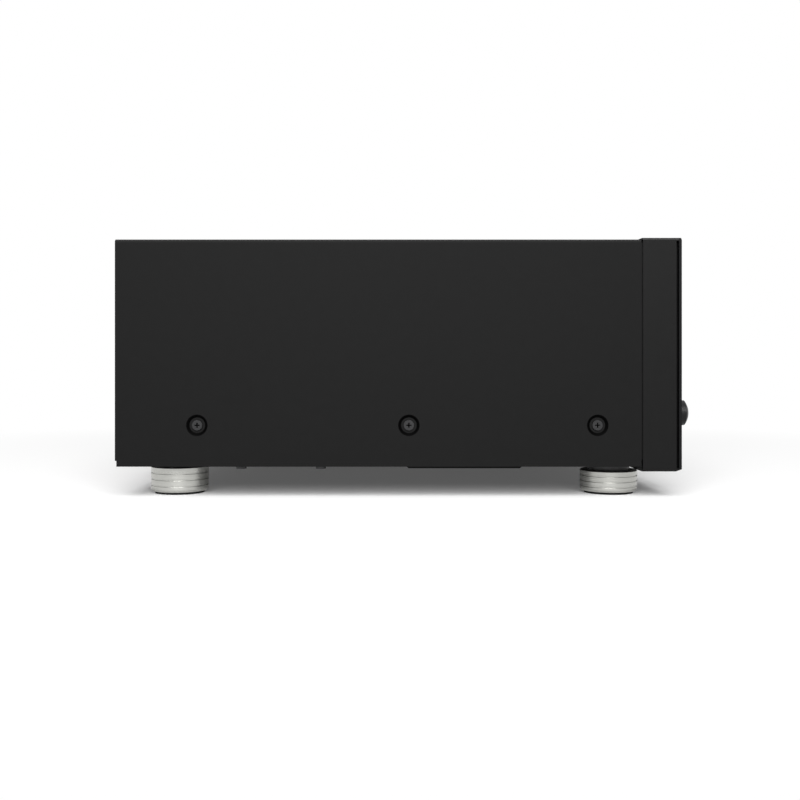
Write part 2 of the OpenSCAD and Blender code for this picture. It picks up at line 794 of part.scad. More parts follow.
// Knobs: a hollow cap with a bevelled rim, a dished face, a pointer groove and a hub with a flat
module knob(x, d, out) {
  r = d / 2;
  hub_r = shaft_d / 2 + 3.5;
  dish_r = r * 0.62;
  at_front(x, knob_z) translate([0, y_plate, 0]) rotate([90, 0, 0]) difference() {
    rotate_extrude($fn = 96) polygon(concat(
      [[0, knob_gap], [hub_r, knob_gap], [hub_r, out - knob_face], [r - knob_wall, out - knob_face]],
      [[r - knob_wall, knob_gap], [r, knob_gap]],
      arc_points(r - knob_taper - knob_edge, out - knob_edge, knob_edge, 0, 90, 5),
      [[dish_r + knob_dish, out], [dish_r, out - knob_dish], [0, out - knob_dish]]
    ));
    translate([0, 0, -1]) shaft_form(shaft_d / 2 + shaft_gap, out - knob_face + 2);
    translate([-0.6, dish_r + 2.5, out - 0.7]) cube([1.2, r, 2]);
  }
}

// A round shaft with a flat, from z = 0 up
module shaft_form(r, len) {
  difference() {
    cylinder(r = r, h = len);
    translate([-r, r - 1.4, -1]) cube([2 * r, 2 * r, len + 2]);
  }
}

module knob_shaft(x, out) {
  inner = y_board - encoder_depth + 1.5;
  color("#b9babb") at_front(x, knob_z) {
    translate([0, y_plate, 0]) rotate([90, 0, 0]) shaft_form(shaft_d / 2, out - knob_face);
    translate([0, inner, 0]) rotate([90, 0, 0]) cylinder(d = shaft_d, h = inner - y_plate);
  }
}

module encoder(x) {
  front = y_board - encoder_depth;
  color("#6f7173") at_front(x, knob_z) difference() {
    union() {
      along_y(front, y_board) square(encoder_w, center = true);
      rod_y(0, 0, bushing_d, y_plate + 0.4, front + 1);
      translate([0, y_frame, 0]) rotate([90, 0, 0]) cylinder(d = nut_d, h = plate_t - 0.4, $fn = 6);
    }
    rod_y(0, 0, shaft_d + 2 * shaft_gap, y_plate - 1, front + 2);
  }
}

// Power button: a domed cap with a collar that stops behind the frame's wall
module power_button() {
  wall_back = y_frame + groove_w + frame_wall;
  r = power_d / 2;
  rim = 3;
  dome_r = (r * r + rim * rim) / (2 * rim);
  color("#2a2a2a") at_front(power_x, power_z) {
    translate([0, wall_back + 0.1, 0]) rotate([90, 0, 0]) intersection() {
      cylinder(r = r, h = wall_back + 0.1 - y_plate + power_out);
      translate([0, 0, wall_back + 0.1 - y_plate + power_out - dome_r]) sphere(r = dome_r);
      translate([-r, -r, 0]) cube([2 * r, 2 * r, 3 * r]);
    }
    rod_y(0, 0, collar_d, wall_back + 0.1, wall_back + 1.7);
    rod_y(0, 0, stem_d, wall_back + 1.6, y_board - switch_h - switch_tip - power_travel);
  }
}

module key(i) {
  color("#2a2a2a") at_front(key_x(i), key_z) {
    along_y(y_plate - key_out, y_frame + 0.2) key_outline(0);
    along_y(y_frame + 0.1, y_frame + 0.1 + key_flange) square([key_w + 3, key_h + 3], center = true);
    rod_y(0, 0, stem_d - 1, y_frame + key_flange, y_board - switch_h - switch_tip - key_travel);
  }
}

module tact_switches() {
  places = concat([[power_x, power_z]], [for (i = [0:key_count - 1]) [key_x(i), key_z]]);
  color("#3c3c3c") for (p = places) at_front(p[0], p[1]) {
    along_y(y_board - switch_h + 0.5, y_board) square(switch_w, center = true);
    rod_y(0, 0, 3.2, y_board - switch_h, y_board - 0.5);
  }
}

module display_window() {
  color("#101214") along_y(y_plate + 0.2, y_frame)
    translate([window_x, window_z]) square([window_w, window_h], center = true);
}

module display_module() {
  color("#203038") {
    along_y(y_board - 9, y_board - 3)
      translate([window_x, window_z]) square([window_w - 14, window_h - 10], center = true);
    for (side = [-1, 1]) along_y(y_board - 4, y_board)
      translate([window_x + side * (window_w / 2 - 18), window_z]) square([10, window_h - 14], center = true);
  }
}

module front_board() {
  color("#1f5a37") difference() {
    block(-board_half_w, board_half_w, y_board, y_board + board_t,
      frame_bottom + board_foot_gap, frame_top - board_head_gap);
    rod_y(headphone_x, front_socket_z, headphone_body_d + 3, y_board - 1, y_board + board_t + 1);
  }
}

// Front sockets
module headphone_socket() {
  body_back = y_subpanel - seat_gap;
  body_front = y_frame + groove_w + frame_wall + seat_gap;
  color("#222222") at_front(headphone_x, front_socket_z) difference() {
    union() {
      rod_y(0, 0, headphone_d + 5, y_plate - 0.8, body_front + 0.5);
      rod_y(0, 0, headphone_body_d, body_front, body_back);
    }
    rod_y(0, 0, headphone_d, y_plate - 2, body_back - 2);
  }
}

module front_data_socket() {
  color("#9a9c9e") at_front(data_x, front_socket_z) along_y(y_plate + 0.6, y_board) difference() {
    square([data_w + 0.8, data_h + 0.8], center = true);
    square([data_w, data_h], center = true);
  }
}

module phono_barrel(out, seat) {
  difference() {
    rod_y(0, 0, phono_d, -out, seat);
    rod_y(0, 0, 6.6, -out - 1, -out + 5);
  }
  difference() {
    rod_y(0, 0, 4.6, -out + 0.2, -out + 6);
    rod_y(0, 0, 3.2, -out - 1, -out + 4);
  }
}

module front_phono_sockets() {
  color("#c9a54a") for (i = [0:2])
    translate([phono_x + i * phono_pitch, y_plate, front_socket_z])
      phono_barrel(phono_out, y_board - y_plate);
}

// Rear panel and what it holds
function jack_places() =
  [for (c = [0:jack_columns - 1]) for (r = [0:jack_rows - 1])
    [jack_x + c * jack_pitch, jack_z + r * jack_pitch]];

module rear_holes() {
  for (i = [0:video_count - 1])
    translate([video_socket_x(i), video_z]) square([video_w + 2, video_h + 2], center = true);
  translate([network_x, network_z]) square([16.4, network_h + 0.6], center = true);
  for (p = jack_places()) translate(p) circle(d = phono_d + 2);
  translate([aerial_x, video_z - 3]) circle(d = 10);
  translate([aerial_x + aerial_pitch, video_z - 3])
    square([clamp_w + 2 * pass_gap, clamp_h + 2 * pass_gap], center = true);
  translate([inlet_x, inlet_z]) square([inlet_w + 0.6, inlet_h + 0.6], center = true);
  for (i = [0:2 * post_pairs - 1]) translate([post_x(i), post_z]) circle(d = cap_d + 1);
  for (ring = [14, 21, 28])
    for (i = [0:7])
      translate([fan_x, fan_z]) rotate(i * 45 + ring) translate([ring, 0])
        slot_outline(grille_slot_w, ring * 0.6);
  for (i = [0:11])
    translate([sink_x - 4 + i * fin_pitch, cover_top - rear_vent_drop]) slot_outline(vent_w, rear_vent_len);
}

module rear_panel() {
  foot_reach = 10;
  color("#26282a") {
    along_y(y_inside, y_panel) difference() {
      lining_outline(tray_floor);
      rear_holes();
      for (x = rear_screw_x) translate([x, rear_screw_z]) circle(d = screw_d + 0.4);
    }
    block(-wall_x + tray_t + seat_gap, wall_x - tray_t - seat_gap, y_panel - foot_reach, y_inside + 0.1,
      tray_floor, tray_floor + sheet_t);
  }
}

module digital_video_sockets() {
  color("#a3a5a7") for (i = [0:video_count - 1]) translate([video_socket_x(i), 0, video_z]) difference() {
    along_y(y_panel - 12, y_panel + 0.5)
      square([video_w + 2 * socket_wall, video_h + 2 * socket_wall], center = true);
    along_y(y_panel - 11, y_panel + 1) square([video_w, video_h], center = true);
  }
}

module network_socket() {
  color("#a3a5a7") translate([network_x, 0, network_z]) difference() {
    along_y(y_panel - 16, y_panel + 0.5) square([15.8, network_h], center = true);
    along_y(y_panel - 13, y_panel + 1) translate([0, 0.5]) square([11.8, 8], center = true);
  }
}

jack_board_x0 = jack_x - 9;
jack_board_x1 = jack_x + (jack_columns - 1) * jack_pitch + 9;
jack_top = jack_z + (jack_rows - 1) * jack_pitch;

module rear_phono_sockets() {
  color("#3a3a3c") {
    for (c = [0:jack_columns - 1])
      block(jack_x + c * jack_pitch - 6.5, jack_x + c * jack_pitch + 6.5, y_inside - 10, y_inside - seat_gap,
        jack_z - 7, jack_top + 7);
    block(jack_board_x0, jack_board_x1, y_inside - 10 - board_t, y_inside - 10, jack_z - 9, jack_top + 9);
    for (p = jack_places()) translate([p[0], y_panel, p[1]]) mirror([0, 1, 0]) phono_barrel(phono_out, 3);
  }
}

module aerial_sockets() {
  color("#b0b2b4") {
    translate([aerial_x, y_panel, video_z - 3]) mirror([0, 1, 0]) difference() {
      union() {
        rod_y(0, 0, 9.4, -9, 10);
        rod_y(0, 0, 13, sheet_t + seat_gap, 10);
      }
      rod_y(0, 0, 7.4, -10, -1);
    }
    translate([aerial_x + aerial_pitch, 0, video_z - 3]) along_y(y_panel - 8, y_panel + 3) difference() {
      square([clamp_w, clamp_h], center = true);
      for (end = [-1, 1]) translate([0, end * 5]) circle(d = 3.2);
    }
  }
}

module mains_inlet() {
  color("#1d1d1f") translate([inlet_x, 0, inlet_z]) {
    difference() {
      union() {
        along_y(y_panel - 18, y_panel + 1) square([inlet_w, inlet_h], center = true);
        along_y(y_panel, y_panel + 2.5) polygon(rounded_points(inlet_plate_w, inlet_plate_h, 4));
      }
      along_y(y_panel - 15, y_panel + 4)
        polygon([[-12, -8.2], [12, -8.2], [12, 4], [8, 8.2], [-8, 8.2], [-12, 4]]);
      for (side = [-1, 1]) rod_y(side * 20, 0, 3.4, y_panel - 1, y_panel + 4);
    }
    for (pin = [[-7, -2], [0, 2], [7, -2]])
      along_y(y_panel - 16, y_panel - 2) translate(pin) square([2, 4], center = true);
  }
}

// Speaker terminals: a moulded strip with a metal stud for each screw-down cap
post_tip = y_rear + post_out;
cap_front = y_panel + 4.5;
cap_back = post_tip;
strip_x0 = post_x(0) - cap_d;
strip_x1 = post_x(2 * post_pairs - 1) + cap_d;

module speaker_terminals() {
  color("#232325") difference() {
    union() {
      block(strip_x0, strip_x1, y_inside - 7, y_inside - seat_gap, post_z - 11, post_z + 11);
      for (i = [0:2 * post_pairs - 1]) rod_y(post_x(i), post_z, cap_d, y_inside - 1, y_panel + 3.5);
    }
    for (i = [0:2 * post_pairs - 1]) rod_y(post_x(i), post_z, cap_bore_d, y_inside - 9, y_rear + 8);
  }
}

// Studs with a solder tag behind the strip and a bore for a plug in their tips
module speaker_studs() {
  color("#c8a850") for (i = [0:2 * post_pairs - 1]) difference() {
    union() {
      rod_y(post_x(i), post_z, stud_d, y_inside - 12, post_tip - 4);
      translate([post_x(i), y_inside - 7, post_z]) rotate([90, 0, 0])
        cylinder(d = stud_d + 4, h = 2.4, $fn = 6);
    }
    rod_y(post_x(i), post_z, 4, post_tip - 16, post_tip);
  }
}

module speaker_cap(i) {
  color(i % 2 == 0 ? "#1d1d1d" : "#a3231f") translate([post_x(i), 0, post_z]) difference() {
    rod_y(0, 0, cap_d, cap_front, cap_back);
    for (flute = [0:cap_flutes - 1]) rotate([0, flute * 360 / cap_flutes, 0])
      rod_y(cap_d / 2 + 0.3, 0, flute_d, cap_front + 3, cap_back + 1);
    rod_y(0, 0, cap_bore_d, cap_front - 1, cap_back - 2);
    rod_y(0, 0, 4.2, cap_back - 3, cap_back + 1);
  }
}

// Inside
module transformer_core() {
  color("#55585a") translate([core_x, 0, 0]) {
    along_y(core_y - core_depth / 2, core_y + core_depth / 2) difference() {
      translate([-core_w / 2, core_bottom]) square([core_w, core_h]);
      for (side = [-1, 1]) translate([side * core_leg * 1.5 - core_leg / 2, core_bottom + core_leg])
        square([core_leg, core_h - 2 * core_leg]);
    }
    for (side = [-1, 1]) along_y(core_y - core_depth / 2 + 4, core_y + core_depth / 2 - 4) polygon([
      [side * core_w / 2, core_bottom], [side * core_w / 2, core_bottom + 14],
      [side * (core_w / 2 + 1.6), core_bottom + 14],
      [side * (core_w / 2 + 1.6), tray_floor + 1.6], [side * (core_w / 2 + 11), tray_floor + 1.6],
      [side * (core_w / 2 + 11), tray_floor], [side * (core_w / 2 - 4), tray_floor],
      [side * (core_w / 2 - 4), core_bottom]
    ]);
  }
}

module transformer_windings() {
  reach = core_leg - 1;
  color("#b5803a") translate([core_x, core_y, core_bottom + core_leg + 0.5])
    linear_extrude(height = core_h - 2 * core_leg - 1) difference() {
      polygon(rounded_points(2 * core_leg + 2 * reach, core_depth + 2 * reach, reach * 0.8));
      square([2 * (core_leg + seat_gap), core_depth + 2 * seat_gap], center = true);
    }
}

module heat_sink() {
  count = floor((sink_len - fin_t) / fin_pitch) + 1;
  color("#1b1c1e") difference() {
    translate([sink_x, 0, tray_floor + seat_gap]) linear_extrude(height = sink_h) union() {
      translate([0, sink_y - sink_back]) square([sink_len, sink_back]);
      for (i = [0:count - 1])
        translate([i * fin_pitch, sink_y - sink_back - fin_depth]) square([fin_t, fin_depth + 1]);
    }
    for (i = [0:transistor_count - 1])
      rod_y(transistor_x(i), transistor_z + 6, screw_d, sink_y - 4, sink_y + 1);
  }
}

function transistor_x(i) = sink_x + sink_len * (i + 0.5) / transistor_count;
transistor_z = lower_board_z + 40;
board_top = lower_board_z + board_t;

module power_transistors() {
  color("#18181a") for (i = [0:transistor_count - 1]) translate([transistor_x(i), 0, transistor_z]) {
    along_y(sink_y, sink_y + 4.8) square([15.6, 20], center = true);
    for (leg = [-1, 0, 1]) translate([leg * 5.4, sink_y + 2, board_top - transistor_z])
      cube([1.1, 0.8, transistor_z - board_top - 9]);
  }
}

module board(x0, x1, y0, y1, z) {
  difference() {
    block(x0, x1, y0, y1, z, z + board_t);
    for (p = board_holes(x0, x1, y0, y1))
      translate([p[0], p[1], z - 1]) cylinder(d = screw_d + 0.4, h = board_t + 2);
  }
}

module amplifier_board() {
  top = lower_board_z + board_t;
  color("#7c5f2c") {
    board(amp_x0, amp_x1, amp_y0, amp_y1, lower_board_z);
    for (i = [0:post_pairs - 1]) {
      translate([amp_x0 + 34 + i * 44, amp_y1 - 20, top - 0.1]) cube([28, 12, 16]);
      translate([amp_x0 + 30 + i * 44, amp_y0 + 40, top - 0.1]) cylinder(d = 16, h = 12);
    }
  }
}

module power_supply_board() {
  standby_transformer = [34, 30, 28];
  bridge_sink = [60, 3, 34];
  small_part_y = supply_y0 + 14;
  top = lower_board_z + board_t;
  color("#7c5f2c") {
    board(supply_x0, supply_x1, supply_y0, supply_y1, lower_board_z);
    translate([supply_x0 + 110, small_part_y, top - 0.1]) cube(standby_transformer);
    translate([supply_x0 + 160, small_part_y, top - 0.1]) cube(bridge_sink);
    for (i = [0:3])
      translate([supply_x0 + 166 + i * 16, supply_y0 + 40, top - 0.1]) cylinder(d = 12, h = 20);
  }
}

module reservoir_capacitors() {
  color("#20262e") for (i = [0, 1])
    translate([supply_x0 + 28 + i * (capacitor_d + 9), (supply_y0 + supply_y1) / 2, board_top])
      cylinder(d = capacitor_d, h = capacitor_h);
}

module main_board() {
  processor_sink = [32, 32, 8];
  sound_chip = [24, 24, 2.6];
  top = main_z + board_t;
  color("#1f5a37") {
    board(main_x0, main_x1, main_y0, main_y1, main_z);
    translate([main_x0 + 60, main_y0 + 20, top - 0.1]) cube(processor_sink);
    translate([main_x0 + 108, main_y0 + 24, top - 0.1]) cube(sound_chip);
    translate([main_x0 + 20, main_y0 + 16, top - 0.1]) cube([6, 50, 7]);
  }
}

// Fan: a square frame with a spoked motor seat and a bladed rotor running on its pin
fan_y1 = y_inside - seat_gap;
fan_y0 = fan_y1 - fan_depth;
fan_bore = fan_w - 4;
hub_d = fan_w * 0.36;
pin_d = 4;

module fan_frame() {
  color("#1e1e20") at_front(fan_x, fan_z) difference() {
    union() {
      difference() {
        along_y(fan_y0, fan_y1) polygon(rounded_points(fan_w, fan_w, 4));
        rod_y(0, 0, fan_bore, fan_y0 - 1, fan_y1 + 1);
      }
      rod_y(0, 0, hub_d, fan_y1 - 3, fan_y1);
      for (turn = [45:90:315]) rotate([0, turn, 0]) block(0, fan_bore / 2 + 1, fan_y1 - 3, fan_y1, -1.5, 1.5);
      rod_y(0, 0, pin_d, fan_y0 + 4, fan_y1 - 1);
    }
    for (x = [-1, 1]) for (z = [-1, 1])
      rod_y(x * (fan_w / 2 - 4.5), z * (fan_w / 2 - 4.5), 3.6, fan_y0 - 1, fan_y1 + 1);
  }
}

module fan_rotor() {
  front = fan_y0 + 1;
  back = fan_y1 - 3.5;
  blade_r = fan_bore / 2 - 1;
  color("#2a2a2d") at_front(fan_x, fan_z) difference() {
    union() {
      rod_y(0, 0, hub_d, front, back);
      intersection() {
        rod_y(0, 0, 2 * blade_r, front + 0.5, back - 0.5);
        for (i = [0:blade_count - 1]) rotate([0, i * 360 / blade_count, 0])
          translate([hub_d / 2 - 1, (front + back) / 2, 0]) rotate([blade_tilt, 0, 0])
            cube([blade_r, fan_depth * 2, 1.4]);
      }
    }
    rod_y(0, 0, pin_d + 2 * shaft_gap, front + 2.5, back + 1);
  }
}

top_cover();
bottom_chassis();
rear_panel();
front_frame();
front_plate();
front_subpanel();
cover_side_screws();
rear_screws();
bottom_screws();
foot_pair(feet_y[0], front_foot_h);  // front_foot_rings
foot_pair(feet_y[1], rear_foot_h);  // rear_foot_rings
foot_cores();
foot_pads();
color("#2a2a2a") knob(volume_x, volume_d, volume_out);  // volume_knob
knob_shaft(volume_x, volume_out);  // volume_shaft
encoder(volume_x);  // volume_encoder
color("#2a2a2a") knob(selector_x, selector_d, selector_out);  // selector_knob
knob_shaft(selector_x, selector_out);  // selector_shaft
encoder(selector_x);  // selector_encoder
power_button();
key(0);  // key_1
key(1);  // key_2
key(2);  // key_3
key(3);  // key_4
key(4);  // key_5
tact_switches();
display_window();
display_module();
front_board();
headphone_socket();
front_data_socket();
front_phono_sockets();
digital_video_sockets();
network_socket();
rear_phono_sockets();
aerial_sockets();
mains_inlet();
speaker_terminals();
speaker_studs();
speaker_cap(0);  // speaker_cap_1
speaker_cap(1);  // speaker_cap_2
speaker_cap(2);  // speaker_cap_3
speaker_cap(3);  // speaker_cap_4
speaker_cap(4);  // speaker_cap_5
speaker_cap(5);  // speaker_cap_6
speaker_cap(6);  // speaker_cap_7
speaker_cap(7);  // speaker_cap_8
speaker_cap(8);  // speaker_cap_9
speaker_cap(9);  // speaker_cap_10
transformer_core();
transformer_windings();
heat_sink();
power_transistors();
board_posts();
amplifier_board();
power_supply_board();
reservoir_capacitors();
main_board();
fan_frame();
fan_rotor();
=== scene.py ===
"""An AV receiver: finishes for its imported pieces, its small fittings, floor, lights and camera."""
import math

import bmesh
import bpy
from mathutils import Matrix, Vector


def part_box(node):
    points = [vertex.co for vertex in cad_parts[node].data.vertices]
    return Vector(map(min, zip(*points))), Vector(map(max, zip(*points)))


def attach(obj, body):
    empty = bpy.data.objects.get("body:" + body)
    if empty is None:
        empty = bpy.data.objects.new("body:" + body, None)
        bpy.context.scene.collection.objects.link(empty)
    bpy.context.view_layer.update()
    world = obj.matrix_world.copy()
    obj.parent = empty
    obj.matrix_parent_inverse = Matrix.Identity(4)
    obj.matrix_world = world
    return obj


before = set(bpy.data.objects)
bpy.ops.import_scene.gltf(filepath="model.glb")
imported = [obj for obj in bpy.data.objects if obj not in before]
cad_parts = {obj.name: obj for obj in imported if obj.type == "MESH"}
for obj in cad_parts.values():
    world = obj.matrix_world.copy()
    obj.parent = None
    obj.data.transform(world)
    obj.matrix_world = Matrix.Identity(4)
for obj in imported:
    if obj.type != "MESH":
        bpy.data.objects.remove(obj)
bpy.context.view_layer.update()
scene = bpy.context.scene

MM = 0.001

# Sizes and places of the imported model, in millimetres: x across, y from front to rear, z up
PLATE_Y = -187.75
PANEL_Y = 190.75
REAR_Y = 191.75
HALF_WIDTH = 217.5
SIDE_SCREWS_FROM_REAR = (54.9, 196.8, 323.2)
SIDE_SCREW_Z = 49.3
DISH_WALL = (5.2, 7.2)  # inner and outer radius of the pressed wall round a side screw
FOOT_X = 179.5
FOOT_Y = (-146.75, 156.75)
KNOB_Z = 122.0
VOLUME_X = 146.0
VOLUME_R = 32.0
VOLUME_OUT = 22.0
SELECTOR_X = -143.0
SELECTOR_R = 22.0
SELECTOR_OUT = 15.0
KNOB_FACE = 0.62  # radius of a knob's inner face, as a share of the knob's own
KEY_X = -74.0
KEY_Z = 88.0
KEY_PITCH = 34.0
KEY_COUNT = 5
FRONT_SOCKET_Z = 48.0
FRONT_JACK_X = 124.0
FRONT_JACK_PITCH = 19.0
HEADPHONE_X = -143.0
DATA_X = 96.0
JACK_X = 84.0
JACK_Z = 88.0
JACK_PITCH = 17.0
JACK_COLUMNS = 7
JACK_OUT = 8.0
BARREL_R = 4.2
VIDEO_X = -22.0
VIDEO_Z = 150.0
VIDEO_PITCH = 23.0
VIDEO_COUNT = 5
NETWORK_X = 104.0
NETWORK_Z = 153.75
AERIAL_X = 178.0
AERIAL_Z = 147.0
CLAMP_X = 197.0
CLAMP_FROM_MIDDLE = 5
INLET_X = -180.0
INLET_Z = 60.0
INLET_FACE_OUT = 2.5
INLET_SCREW_FROM_MIDDLE = 20
FAN_X = -112.0
FAN_Z = 122.0
FAN_SCREW_FROM_MIDDLE = 30.5
POST_Z = 50.0
PAIR_X = -112.0
PAIR_PITCH = 43.0
PAIR_COUNT = 5
POST_PITCH = 19.0
REAR_SCREW_Z = 168.5
BOARD_TOP = 34.6
MAIN_TOP = 147.1
CHANNEL_X = -62
CHANNEL_PITCH = 44
CHANNEL_COUNT = 5
TRANSISTOR_X = -49.5
TRANSISTOR_PITCH = 25
TRANSISTOR_COUNT = 10
TRANSISTOR_FACE_Y = 22.8
TRANSISTOR_SCREW_Z = 79
CAPACITOR_X = (-32.0, 12.0)
CAPACITOR_Y = -80.275
CAPACITOR_TOP = 94.6


def linear(colour):
    """The linear colour of an sRGB hex value."""
    parts = [int(colour[i:i + 2], 16) / 255 for i in (1, 3, 5)]
    return [p / 12.92 if p <= 0.04045 else ((p + 0.055) / 1.055) ** 2.4 for p in parts] + [1.0]


# Materials

ROUNDED_EDGE = 0.25  # radius in mm at which every edge catches the light
BEVEL_SAMPLES = 4
FINE_DETAIL = 3.0
BROAD_DETAIL = 4.0
DRIFT_WIDTH = 14  # the colour drifts over this many grains
MIDDLE_OF_NOISE = (0.3, 0.7)  # where nearly all values of a noise lie
HIGHLIGHT_FADE = 0.6  # mm over which a painted edge highlight fades in
WALL_FADE = (1.2, 0.8)  # a dish wall's painted shade fades in between these shares of its half width
COVER_HIGHLIGHT, FRAME_HIGHLIGHT = 1.6, 1.4  # mm of painted highlight inwards from an upper edge
CROSS_DEPTH = (0.1, 0.35)  # mm below a side screw's face over which its cross is painted dark as shade
PLATING_FROM = (0.2, 0.4)  # mm outside the rear panel over which the barrels turn to gold


def add_node(tree, kind, inputs=None, **settings):
    """Adds a shader node with its settings, and links or sets its inputs."""
    node = tree.nodes.new(kind)
    for name, value in settings.items():
        setattr(node, name, value)
    for name, value in (inputs or {}).items():
        if isinstance(value, bpy.types.NodeSocket):
            tree.links.new(value, node.inputs[name])
        else:
            node.inputs[name].default_value = value
    return node


def finish(name, colour, roughness, **shader):
    """A material with one shader; names in shader have underscores for the sockets' spaces."""
    material = bpy.data.materials.new(name)
    material.use_nodes = True
    material.diffuse_color = linear(colour)
    body = material.node_tree.nodes["Principled BSDF"]
    body.inputs["Base Color"].default_value = linear(colour)
    body.inputs["Roughness"].default_value = roughness
    for socket, value in shader.items():
        body.inputs[socket.replace("_", " ")].default_value = value
    return material


def grain(material, size, depth, drift, gloss, stretch=(1, 1, 1), centre=None):
    """A surface grain of that size and depth in mm: bump, a drift in colour and uneven gloss.

    drift is two colours and gloss two roughnesses; stretch below 1 draws the grain out along an
    axis; centre is an axis and where it runs, for turned lines."""
    tree = material.node_tree
    body = tree.nodes["Principled BSDF"]
    place = add_node(tree, "ShaderNodeTexCoord").outputs["Object"]
    if centre is not None:
        place = round_the_axis(tree, place, centre)
    scaled = add_node(tree, "ShaderNodeVectorMath", {0: place, 1: stretch}, operation="MULTIPLY")
    scaled = scaled.outputs["Vector"]
    fine = add_node(tree, "ShaderNodeTexNoise",
                    {"Vector": scaled, "Scale": 1 / (size * MM), "Detail": FINE_DETAIL})
    rounded = add_node(tree, "ShaderNodeBevel", {"Radius": ROUNDED_EDGE * MM},
                       samples=BEVEL_SAMPLES)
    bump = add_node(tree, "ShaderNodeBump",
                    {"Height": fine.outputs["Fac"], "Distance": depth * MM, "Strength": 1.0,
                     "Normal": rounded.outputs["Normal"]})
    tree.links.new(bump.outputs["Normal"], body.inputs["Normal"])
    broad = add_node(tree, "ShaderNodeTexNoise",
                     {"Vector": scaled, "Scale": 1 / (size * DRIFT_WIDTH * MM),
                      "Detail": BROAD_DETAIL})
    tint = add_node(tree, "ShaderNodeMix", {"Factor": broad.outputs["Fac"]}, data_type="RGBA")
    tint.inputs["A"].default_value = linear(drift[0])
    tint.inputs["B"].default_value = linear(drift[1])
    tree.links.new(tint.outputs["Result"], body.inputs["Base Color"])
    spread = add_node(tree, "ShaderNodeMapRange",
                      {"Value": fine.outputs["Fac"], "From Min": MIDDLE_OF_NOISE[0],
                       "From Max": MIDDLE_OF_NOISE[1], "To Min": gloss[0], "To Max": gloss[1]})
    tree.links.new(spread.outputs["Result"], body.inputs["Roughness"])
    return material


def round_the_axis(tree, place, centre):
    """Coordinates that run outwards from an axis and along it, so that a pattern makes rings.

    centre is the axis's letter and its two other coordinates in mm. An axis along Z stands for
    the pair of feet at x and -x, and both of its coordinates count without their signs."""
    axis, points = centre
    if axis == "Z":
        place = add_node(tree, "ShaderNodeVectorMath", {0: place}, operation="ABSOLUTE")
        place = place.outputs["Vector"]
        points = [abs(point) for point in points]
    parts = add_node(tree, "ShaderNodeSeparateXYZ", {0: place})
    names = {"Y": ("X", "Z"), "Z": ("X", "Y")}[axis]
    offsets = []
    for name, middle in zip(names, points):
        offset = add_node(tree, "ShaderNodeMath", {0: parts.outputs[name], 1: middle * MM},
                          operation="SUBTRACT")
        offsets.append(offset.outputs[0])
    flat = add_node(tree, "ShaderNodeCombineXYZ", {0: offsets[0], 1: offsets[1]})
    reach = add_node(tree, "ShaderNodeVectorMath", {0: flat.outputs[0]}, operation="LENGTH")
    rings = add_node(tree, "ShaderNodeCombineXYZ",
                     {0: reach.outputs["Value"], 1: parts.outputs[axis]})
    return rings.outputs[0]


def change_where(material, share, colour, metallic):
    """Turns a finish to another colour and metal where share is 1."""
    tree = material.node_tree
    body = tree.nodes["Principled BSDF"]
    tint = add_node(tree, "ShaderNodeMix", {"Factor": share}, data_type="RGBA")
    tree.links.new(body.inputs["Base Color"].links[0].from_socket, tint.inputs["A"])
    tint.inputs["B"].default_value = linear(colour)
    tree.links.new(tint.outputs["Result"], body.inputs["Base Color"])
    socket = body.inputs["Metallic"]
    before = socket.links[0].from_socket if socket.is_linked else socket.default_value
    metal = add_node(tree, "ShaderNodeMapRange",
                     {"Value": share, "To Min": before, "To Max": metallic})
    tree.links.new(metal.outputs["Result"], socket)


def past(tree, axis, start, end):
    """0 at start mm along an axis and 1 at end mm, the same on both sides of the middle."""
    place = add_node(tree, "ShaderNodeTexCoord").outputs["Object"]
    parts = add_node(tree, "ShaderNodeSeparateXYZ", {0: place})
    reach = add_node(tree, "ShaderNodeMath", {0: parts.outputs[axis]}, operation="ABSOLUTE")
    share = add_node(tree, "ShaderNodeMapRange",
                     {"Value": reach.outputs[0], "From Min": start * MM, "From Max": end * MM})
    return share.outputs["Result"]


def along_edge(tree, x, z):
    """1 along the upper edges at both sides, beyond x and above z in mm."""
    side, top = past(tree, "X", x, x + HIGHLIGHT_FADE), past(tree, "Z", z, z + HIGHLIGHT_FADE)
    return add_node(tree, "ShaderNodeMath", {0: side, 1: top}, operation="MULTIPLY").outputs[0]


def dish_walls(tree):
    """1 on the pressed wall of each side screw's dish, on both sides of the cover, where shade is
    painted.
    """
    place = add_node(tree, "ShaderNodeTexCoord").outputs["Object"]
    flat = add_node(tree, "ShaderNodeVectorMath", {0: place, 1: (0, 1, 1)}, operation="MULTIPLY")
    nearest = None
    for from_rear in SIDE_SCREWS_FROM_REAR:
        middle = (0, (REAR_Y - from_rear) * MM, SIDE_SCREW_Z * MM)
        reach = add_node(tree, "ShaderNodeVectorMath", {0: flat.outputs["Vector"], 1: middle},
                         operation="DISTANCE").outputs["Value"]
        nearest = reach if nearest is None else add_node(
            tree, "ShaderNodeMath", {0: nearest, 1: reach}, operation="MINIMUM").outputs[0]
    off = add_node(tree, "ShaderNodeMath", {0: nearest, 1: sum(DISH_WALL) / 2 * MM},
                   operation="SUBTRACT")
    off = add_node(tree, "ShaderNodeMath", {0: off.outputs[0]}, operation="ABSOLUTE")
    half = (DISH_WALL[1] - DISH_WALL[0]) / 2 * MM
    share = add_node(tree, "ShaderNodeMapRange",
                     {"Value": off.outputs[0], "From Min": half * WALL_FADE[0],
                      "From Max": half * WALL_FADE[1]})
    return share.outputs["Result"]


# Powder-coated sheet steel: an even dark grey with a fine sanded feel and no clear reflections
coated_steel = grain(finish("powder_coated_sheet_steel", "#0b0b0b", 0.64, Specular_IOR_Level=0.1),
                     0.5, 0.02, ("#0a0a0a", "#0d0d0d"), (0.6, 0.7))
